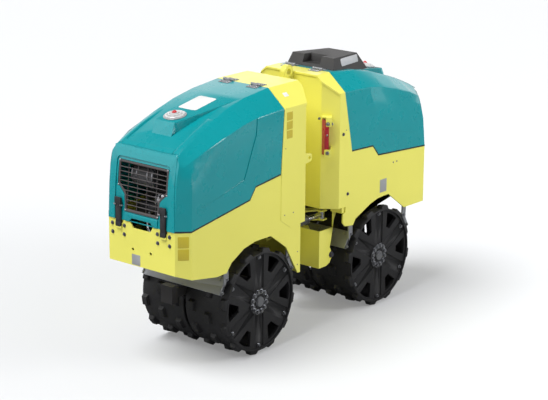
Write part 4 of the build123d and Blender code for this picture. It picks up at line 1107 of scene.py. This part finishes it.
class TRENCHROLLER_OT_engine_bay(bpy.types.Operator):
    """Dresses what shows through the grille and the fascia's dip: clamps, hoses, pump and bent pipe, and dark cups
    behind the tie holes as painted shade
    """
    bl_idname = "trenchroller.engine_bay"
    bl_label = "Engine bay"

    def execute(self, context):
        bright = [turned(CLAMP_BAND, at(935, y, 985), (0, 1, 0), 40, ring=True) for y in CLAMPS_Y]
        bright.append(turned(PUMP, at(930, 25, 868), PUMP_AXIS, 32))
        for number in range(6):
            across, _, upward = 27 * ray(60.0 * number)
            bright += bolt(at(957, 25 + across, 872 + upward), PUMP_AXIS, 0.010)
        bright += [turned(HOSE_CAP, at(930, y, z), (1, 0, 0), 20) for y, z in HOSE_CAPS_YZ]
        dark = [tube(curve_through(places), radius) for radius, places in ENGINE_HOSES]
        dark.append(slab((-150, 150, -34, 34), 6, 30, at(905, 0, 800), (0, 1, 0), UP, 3))
        make("engine_bay_metal", "front_frame", "engine_metal", bright, "zinc")
        make("engine_bay_hoses", "front_frame", "black_rubber", dark)
        make("drain_pipe", "front_frame", "bare_steel", [tube(curve_through(DRAIN_PIPE), 0.008, 18)], "zinc")
        # Dark cups behind the fascia's tie holes: painted shade, so the holes read dark.
        cups = [turned(TIE_HOLE_SHADE_CUP, at(1052.8, y, 632), (1, 0, 0), 24) for y in TIE_HOLES_Y]
        make("tie_hole_shade_cups", "front_frame", "dark_paint", cups)
        return {"FINISHED"}


STUB = ((0, 23), (9, 23), (9, 34), (7, 34), (7, 46), (0, 46))
GLAND = ((25.2, 0), (27.5, 0), (28, 1), (28, 11), (27.5, 12), (25.2, 12))


class TRENCHROLLER_OT_articulation_fittings(bpy.types.Operator):
    """Fits the hose ends, the gland and the eye bolt of the steering cylinder"""
    bl_idname = "trenchroller.articulation_fittings"
    bl_label = "Articulation fittings"

    def execute(self, context):
        stubs = [turned(STUB, at(x, 150, 575), (0, -0.3, 0.95), 6) for x in (60.0, 200.0)]
        make("cylinder_stubs", "cylinder_barrel", "bare_steel", stubs, "zinc")
        collar = turned(GLAND, at(-34, 150, 575), (1, 0, 0), 40, ring=True)
        make("cylinder_gland", "cylinder_barrel", "dark_paint", [collar])
        make("cylinder_eye_bolt", "articulation", "bare_steel", bolt(at(-165, 150, 596), UP, 0.020), "zinc")
        return {"FINISHED"}


SCRAPER_TILT = math.radians(29.0)
SCRAPER_END_Y = 262.0
SCRAPER_END_THICK = 5.0


class TRENCHROLLER_OT_scraper_fittings(bpy.types.Operator):
    """Adds the end plates and bolts of the scraper bars"""
    bl_idname = "trenchroller.scraper_fittings"
    bl_label = "Scraper fittings"

    def execute(self, context):
        wide = context.scene.roller_trim.bolt_wide * 0.8
        c, s = math.cos(SCRAPER_TILT), math.sin(SCRAPER_TILT)
        for half, way in ((half, way) for half in WAYS for way in (1, -1)):
            out, up = np.array([way * c, 0.0, s]), np.array([-way * s, 0.0, c])
            plates, bolts = [], []
            for side in (-1.0, 1.0):
                foot = at(DRUM_X[half], side * SCRAPER_END_Y, DRUM_Z)
                plates.append(slab((283, 303, -46, 52), 4, SCRAPER_END_THICK, foot, out, up, 0.7))
                foot = at(DRUM_X[half], side * (SCRAPER_END_Y + SCRAPER_END_THICK), DRUM_Z)
                for high in (-34.0, 38.0):
                    bolts += bolt(foot + out * 293 * MM + up * high * MM, (0, side, 0), wide)
                for y in (60.0, 150.0, 225.0):
                    place = at(DRUM_X[half], side * y, DRUM_Z) + out * 295 * MM + up * 30 * MM
                    bolts += bolt(place, out, wide)
            name = f"{half}_{'fore' if way > 0 else 'aft'}"
            make(name + "_scraper_plates", f"{half}_frame", "bare_steel", plates)
            make(name + "_scraper_bolts", f"{half}_frame", "bare_steel", bolts, "zinc")
        return {"FINISHED"}


# The receiver cover's side wall: its rim and its foot, each from the fore to the aft end
WINDOW_RIM = np.array([(-268.0, 139.0, 1402.0), (-524.0, 95.0, 1389.0)])
WINDOW_FOOT = np.array([(-226.0, 168.0, 1300.0), (-583.0, 123.0, 1300.0)])
WINDOW_SHARES = ((0.28, 0.5), (0.86, 0.5), (0.86, 0.9), (0.28, 0.9))


class TRENCHROLLER_OT_receiver_window(bpy.types.Operator):
    """Sets the pale windows into the receiver's cover"""
    bl_idname = "trenchroller.receiver_window"
    bl_label = "Receiver windows"

    def execute(self, context):
        parts = []
        for side in (-1.0, 1.0):
            rim, foot = WINDOW_RIM * (1, side, 1), WINDOW_FOOT * (1, side, 1)
            corners = []
            for along, up in WINDOW_SHARES:
                low = foot[0] + (foot[1] - foot[0]) * along
                corners.append(low + (rim[0] + (rim[1] - rim[0]) * along - low) * up)
            u, v = corners[1] - corners[0], corners[3] - corners[0]
            long = np.linalg.norm(u)
            u = u / long
            v = v - u * np.dot(u, v)
            tall = np.linalg.norm(v)
            v = v / tall
            origin = corners[0]
            if np.cross(u, v)[1] * side < 0:
                u, origin = -u, corners[1]
            parts.append(slab((0, long, 0, tall), 9, 1.6, at(*origin), u, v, 0.5, 5))
        make("receiver_windows", "rear_hood", "lamp_plastic", parts, "window_plastic")
        return {"FINISHED"}


SURROUND_TOP = {"front": 1137.0, "rear": 1128.0}
RAIL_AHEAD = (430.0, 706.0)
RAIL_FADE = 90.0
RAIL_SECTION = ((37.0, -1.0), (37.0, 0.2), (32.5, 5.6), (30.5, 6.2), (12.0, 4.6), (3.0, 0.5), (3.0, -1.0))
CROSS_RAIL = ((676.0, -1.0), (676.0, 0.2), (682.0, 5.0), (686.0, 5.8), (704.0, 5.4), (710.0, 5.0),
              (710.5, -1.0))


def evened(path, count=90):
    """Path spread over evenly spaced shares of its run of points."""
    share = np.linspace(0.0, 1.0, count)
    place = np.arange(len(path)) / (len(path) - 1)
    return np.column_stack([np.interp(share, place, path[:, 0]), np.interp(share, place, path[:, 1])])


def swept(rows):
    """Skin over rows of points that run side by side, with a flat face at both ends."""
    return capped(np.stack(rows, axis=1))


def end_surround(half, rise):
    """Raised surround round a hood's grille: each ring is (1 - share) times the inner outline + share
    times the outer one, at its own height over the leaning end."""
    foot, top = HOOD_LEAN[half][0][1] + 0.5, SURROUND_TOP[half]
    sill = 1086 + GRILLE_UP[half] * 0.45
    inner = evened(rounded([(-175, foot), (-175, sill), (175, sill), (175, foot)], (0.01, 24, 24, 0.01), 8))
    outer = evened(rounded([(-219, foot), (-204, top), (204, top), (219, foot)], (0.01, 5, 5, 0.01), 8))
    rows = []
    for share, high in ((0.0, -1.5), (0.0, rise - 1.0), (0.03, rise), (0.5, rise * 0.8), (0.97, rise * 0.55),
                        (1.0, rise * 0.4), (1.0, -1.5)):
        y, z = (inner * (1 - share) + outer * share).T
        rows.append(at(END_X[half] + WAYS[half] * (high - np.interp(z, *HOOD_LEAN[half])), y, z))
    return swept(rows)


def end_bridge(half, rise):
    """Plate that bridges a hood's end between its grille and its lower rim."""
    foot, middle = HOOD_LEAN[half][0][1] + 0.5, 795.0 + GRILLE_UP[half]
    outline = [(-108, foot), (-80, foot), (-62, foot + 19), (62, foot + 19), (80, foot), (108, foot),
               (108, middle + 17), (-108, middle + 17)]
    origin, across, upward = end_frame(half, middle)
    outline = rounded(np.array(outline) - (0, middle), 3.0, 3) * MM
    return plate(outline, rise * MM, origin - np.cross(across, upward) * 1.2 * MM, across, upward, 0.0012)


def roof_x(half, ahead):
    """X of a place on a hood's roof, from how far it is ahead of the parting."""
    return PART_X[half] + WAYS[half] * ahead * HOOD_STRETCH[half]


def roof_rail(half, side):
    """Rail along one edge of a hood's roof: each row runs an inset from the edge, at its height times a
    share that grows from 0 to 1 over the first RAIL_FADE millimetres."""
    ahead = np.linspace(*RAIL_AHEAD, 28)
    fade = np.clip((ahead - RAIL_AHEAD[0]) / RAIL_FADE, 0.0, 1.0)
    rows = []
    for inset, high in RAIL_SECTION:
        y = side * (np.interp(ahead, HOOD_AHEAD, HOOD_ROOF_HALF) - inset)
        z = np.interp(ahead, HOOD_AHEAD, HOOD_ROOF_Z) + (high * fade if high > 0 else high)
        rows.append(at(roof_x(half, ahead), y, z))
    return swept(rows)


def cross_rail(half):
    """Rail across a hood's roof at its low end."""
    y = np.linspace(-164.0, 164.0, 9)
    return swept([at(roof_x(half, ahead), y, np.interp(ahead, HOOD_AHEAD, HOOD_ROOF_Z) + high)
                  for ahead, high in CROSS_RAIL])


class TRENCHROLLER_OT_hood_surrounds(bpy.types.Operator):
    """Lays the raised surround on each hood's end, the bridge under its grille, and the rails on its roof"""
    bl_idname = "trenchroller.hood_surrounds"
    bl_label = "Hood surrounds"

    def execute(self, context):
        rise = context.scene.roller_trim.surround_rise / MM
        for half in WAYS:
            rails = [roof_rail(half, -1.0), roof_rail(half, 1.0), cross_rail(half)]
            parts = [end_surround(half, rise), end_bridge(half, rise)] + rails
            make(f"{half}_hood_surround", f"{half}_hood", "hood_paint", parts, smooth=30.0)
        return {"FINISHED"}


# Half, x of the wall, x of its outer corner, half width of the wall, and the way that it faces
CAP_WALLS = (("front", 72.0, 135.0, 195.0, -1.0), ("rear", -88.0, -150.0, 200.0, 1.0))
CAP_SLOPE = 93.0 / 108.0


class TRENCHROLLER_OT_cap_lips(bpy.types.Operator):
    """Folds the lips of the two bulkheads' caps down over their walls at the gap"""
    bl_idname = "trenchroller.cap_lips"
    bl_label = "Cap lips"

    def execute(self, context):
        high = context.scene.roller_trim.lip_high
        section = [(-0.001, -high), (0.0035, -high), (0.0045, -high + 0.001), (0.0045, -0.0014),
                   (0.0035, -0.0002), (-0.001, 0.0)]
        for half, wall_x, corner_x, wall_half, way in CAP_WALLS:
            run = np.array([corner_x - wall_x, COLUMN_HALF - wall_half])
            run = run / np.linalg.norm(run)
            flat = np.array([way, 0.0, 0.0])
            parts = []
            for side in (-1.0, 1.0):
                diagonal = np.array([way * run[1], side * abs(run[0]), 0.0])
                mitre = (diagonal + flat) / (1.0 + float(diagonal @ flat))
                path = [at(wall_x, side * 30.0, ROOF_Z), at(wall_x, side * 170.0, ROOF_Z),
                        at(wall_x, side * wall_half, ROOF_Z - (wall_half - 170.0) * CAP_SLOPE),
                        at(corner_x, side * COLUMN_HALF, ROOF_Z - 93.0)]
                parts.append(strip(path, [flat, flat, mitre, diagonal], [UP] * 4, section))
            make(f"{half}_cap_lip", f"{half}_frame", "chassis_paint", parts, smooth=25.0)
        return {"FINISHED"}


# Stage

# Where the photograph was taken from, in metres, and how the camera is turned, in degrees
CAMERA_PLACE = (7.333741, 6.028827, 3.41301)
CAMERA_YAW = 219.46
CAMERA_PITCH = -16.178
CAMERA_ROLL = 0.441
TOWARDS_CAMERA = (0.77, 0.64, 0.0)
OVERHEAD = (0.0, 0.35, 1.0)
KEY_FROM = (0.45, -0.2, 0.87)
SIDE_LIGHT_PLACE = (-2.5, 4.5, 3.0)
SIDE_LIGHT_AIM = (0.0, 0.0, 0.8)
FLOOR_HALF = 60.0
WHITE = (1.0, 1.0, 1.0, 1.0)


def reach_along(tree, way, arrow):
    """How far a direction reaches along an arrow."""
    node = tree.nodes.new("ShaderNodeVectorMath")
    node.operation = "DOT_PRODUCT"
    node.inputs[1].default_value = arrow
    tree.links.new(way, node.inputs[0])
    return node.outputs["Value"]


def studio_light(tree, background_strength):
    """Strength of the surroundings: white to the camera and through glass, the given strength for light on
    the object, and for gloss a white band behind the machine that darkens overhead and towards the camera."""
    sight = tree.nodes.new("ShaderNodeLightPath").outputs
    way = tree.nodes.new("ShaderNodeTexCoord").outputs["Generated"]
    low = spread(tree, reach_along(tree, way, OVERHEAD), 0.24, 0.42, 1.0, 0.04)
    behind = spread(tree, reach_along(tree, way, TOWARDS_CAMERA), 0.7, 0.95, 1.0, 0.15)
    band = worked_out(tree, "MULTIPLY", low, behind)
    strength = blend(tree, sight["Is Glossy Ray"], background_strength, band, "FLOAT")
    seen = worked_out(tree, "MAXIMUM", sight["Is Camera Ray"], sight["Is Transmission Ray"])
    return blend(tree, seen, strength, 1.0, "FLOAT")


def floor_paper(glow):
    """Pale floor. In gloss it is dark, but for a bright region behind the machine; the camera sees a glow on it that is
    weaker near the machine, a painted shade round the machine."""
    material, tree, shader, place = new_finish("floor_paper", 0.9, specular=0.1)
    shader.inputs["Emission Color"].default_value = WHITE
    sight = tree.nodes.new("ShaderNodeLightPath").outputs
    away = tree.nodes.new("ShaderNodeVectorMath")
    away.operation = "LENGTH"
    tree.links.new(place, away.inputs[0])
    split = tree.nodes.new("ShaderNodeSeparateXYZ")
    tree.links.new(place, split.inputs["Vector"])
    region = spread(tree, split.outputs["Y"], 3.2, 6.5, 0.0, 1.0)
    for dark_x, bright_x in ((-5.5, -3.4), (2.5, 0.5)):
        strip_x = spread(tree, split.outputs["X"], dark_x, bright_x, 0.0, 1.0)
        region = worked_out(tree, "MULTIPLY", region, strip_x)
    mirrored = blend(tree, region, (0.12, 0.12, 0.12), (0.95, 0.95, 0.95))
    paper = blend(tree, sight["Is Glossy Ray"], (0.55, 0.56, 0.575), mirrored)
    tree.links.new(paper, shader.inputs["Base Color"])
    # The glow is weaker near the machine: painted shade on the floor round it.
    glow_dimmed_by_painted_shade = spread(tree, away.outputs["Value"], 1.2, 3.2, glow - 0.09, glow)
    seen_glow = worked_out(tree, "MULTIPLY", sight["Is Camera Ray"], glow_dimmed_by_painted_shade)
    tree.links.new(seen_glow, shader.inputs["Emission Strength"])
    return material


class TRENCHROLLER_OT_stage(bpy.types.Operator):
    """Sets the floor, the soft lights, the white surroundings and the camera"""
    bl_idname = "trenchroller.stage"
    bl_label = "Stage"

    def execute(self, context):
        values = context.scene.roller_stage
        mesh = bpy.data.meshes.new("floor")
        corners = rectangle(-FLOOR_HALF, FLOOR_HALF, -FLOOR_HALF, FLOOR_HALF)
        mesh.from_pydata(np.column_stack([corners, np.zeros(4)]).tolist(), [], [(0, 1, 2, 3)])
        mesh.materials.append(floor_paper(values.floor_glow))
        floor = linked("floor", mesh)
        world = bpy.data.worlds.new("studio")
        world.use_nodes = True
        background = world.node_tree.nodes["Background"]
        background.inputs["Color"].default_value = WHITE
        strength = studio_light(world.node_tree, values.world_strength)
        world.node_tree.links.new(strength, background.inputs["Strength"])
        context.scene.world = world
        key = bpy.data.lights.new("key", "SUN")
        key.energy = values.key_strength
        key.angle = values.key_spread
        linked("key", key).rotation_euler = Vector(KEY_FROM).to_track_quat("Z", "Y").to_euler()
        side = bpy.data.lights.new("side", "AREA")
        side.shape = "RECTANGLE"
        side.size = 2.5
        side.size_y = 1.6
        side.energy = values.side_power
        side_object = linked("side", side)
        side_object.location = SIDE_LIGHT_PLACE
        aim = Vector(SIDE_LIGHT_AIM) - Vector(SIDE_LIGHT_PLACE)
        side_object.rotation_euler = aim.to_track_quat("-Z", "Y").to_euler()
        camera = bpy.data.cameras.new("camera")
        camera.lens = values.lens
        camera.sensor_width = 36.0
        turn = Matrix.Translation(CAMERA_PLACE)
        for degrees, axis in ((CAMERA_YAW - 90.0, "Z"), (90.0 + CAMERA_PITCH, "X"), (CAMERA_ROLL, "Z")):
            turn = turn @ Matrix.Rotation(math.radians(degrees), 4, axis)
        context.scene.camera = linked("camera", camera)
        context.scene.camera.matrix_world = turn
        context.scene.view_settings.view_transform = "Standard"
        return {"FINISHED"}


class TRENCHROLLER_PT_sidebar(bpy.types.Panel):
    bl_idname = "TRENCHROLLER_PT_sidebar"
    bl_label = "Trench roller"
    bl_space_type = "VIEW_3D"
    bl_region_type = "UI"
    bl_category = "Trench roller"

    def draw(self, context):
        for operator in OPERATORS:
            self.layout.operator(operator.bl_idname)


GROUPS = {"roller_paint": RollerPaint, "roller_trim": RollerTrim, "roller_stage": RollerStage}
OPERATORS = (
    TRENCHROLLER_OT_panels, TRENCHROLLER_OT_drums, TRENCHROLLER_OT_wheel_fittings, TRENCHROLLER_OT_grilles,
    TRENCHROLLER_OT_latches, TRENCHROLLER_OT_lamps, TRENCHROLLER_OT_hardware, TRENCHROLLER_OT_lock_fittings,
    TRENCHROLLER_OT_blank_labels, TRENCHROLLER_OT_gap_shade_strips, TRENCHROLLER_OT_engine_bay,
    TRENCHROLLER_OT_articulation_fittings, TRENCHROLLER_OT_scraper_fittings, TRENCHROLLER_OT_receiver_window,
    TRENCHROLLER_OT_hood_surrounds, TRENCHROLLER_OT_cap_lips,
    TRENCHROLLER_OT_stage,
)


def register():
    for group in GROUPS.values():
        bpy.utils.register_class(group)
    for operator in OPERATORS:
        bpy.utils.register_class(operator)
    bpy.utils.register_class(TRENCHROLLER_PT_sidebar)
    for name, group in GROUPS.items():
        setattr(bpy.types.Scene, name, PointerProperty(type=group))


def unregister():
    for name in GROUPS:
        delattr(bpy.types.Scene, name)
    bpy.utils.unregister_class(TRENCHROLLER_PT_sidebar)
    for operator in reversed(OPERATORS):
        bpy.utils.unregister_class(operator)
    for group in reversed(list(GROUPS.values())):
        bpy.utils.unregister_class(group)


def main():
    register()
    for operator in OPERATORS:
        group, name = operator.bl_idname.split(".")
        getattr(getattr(bpy.ops, group), name)()


if __name__ == "__main__":
    main()
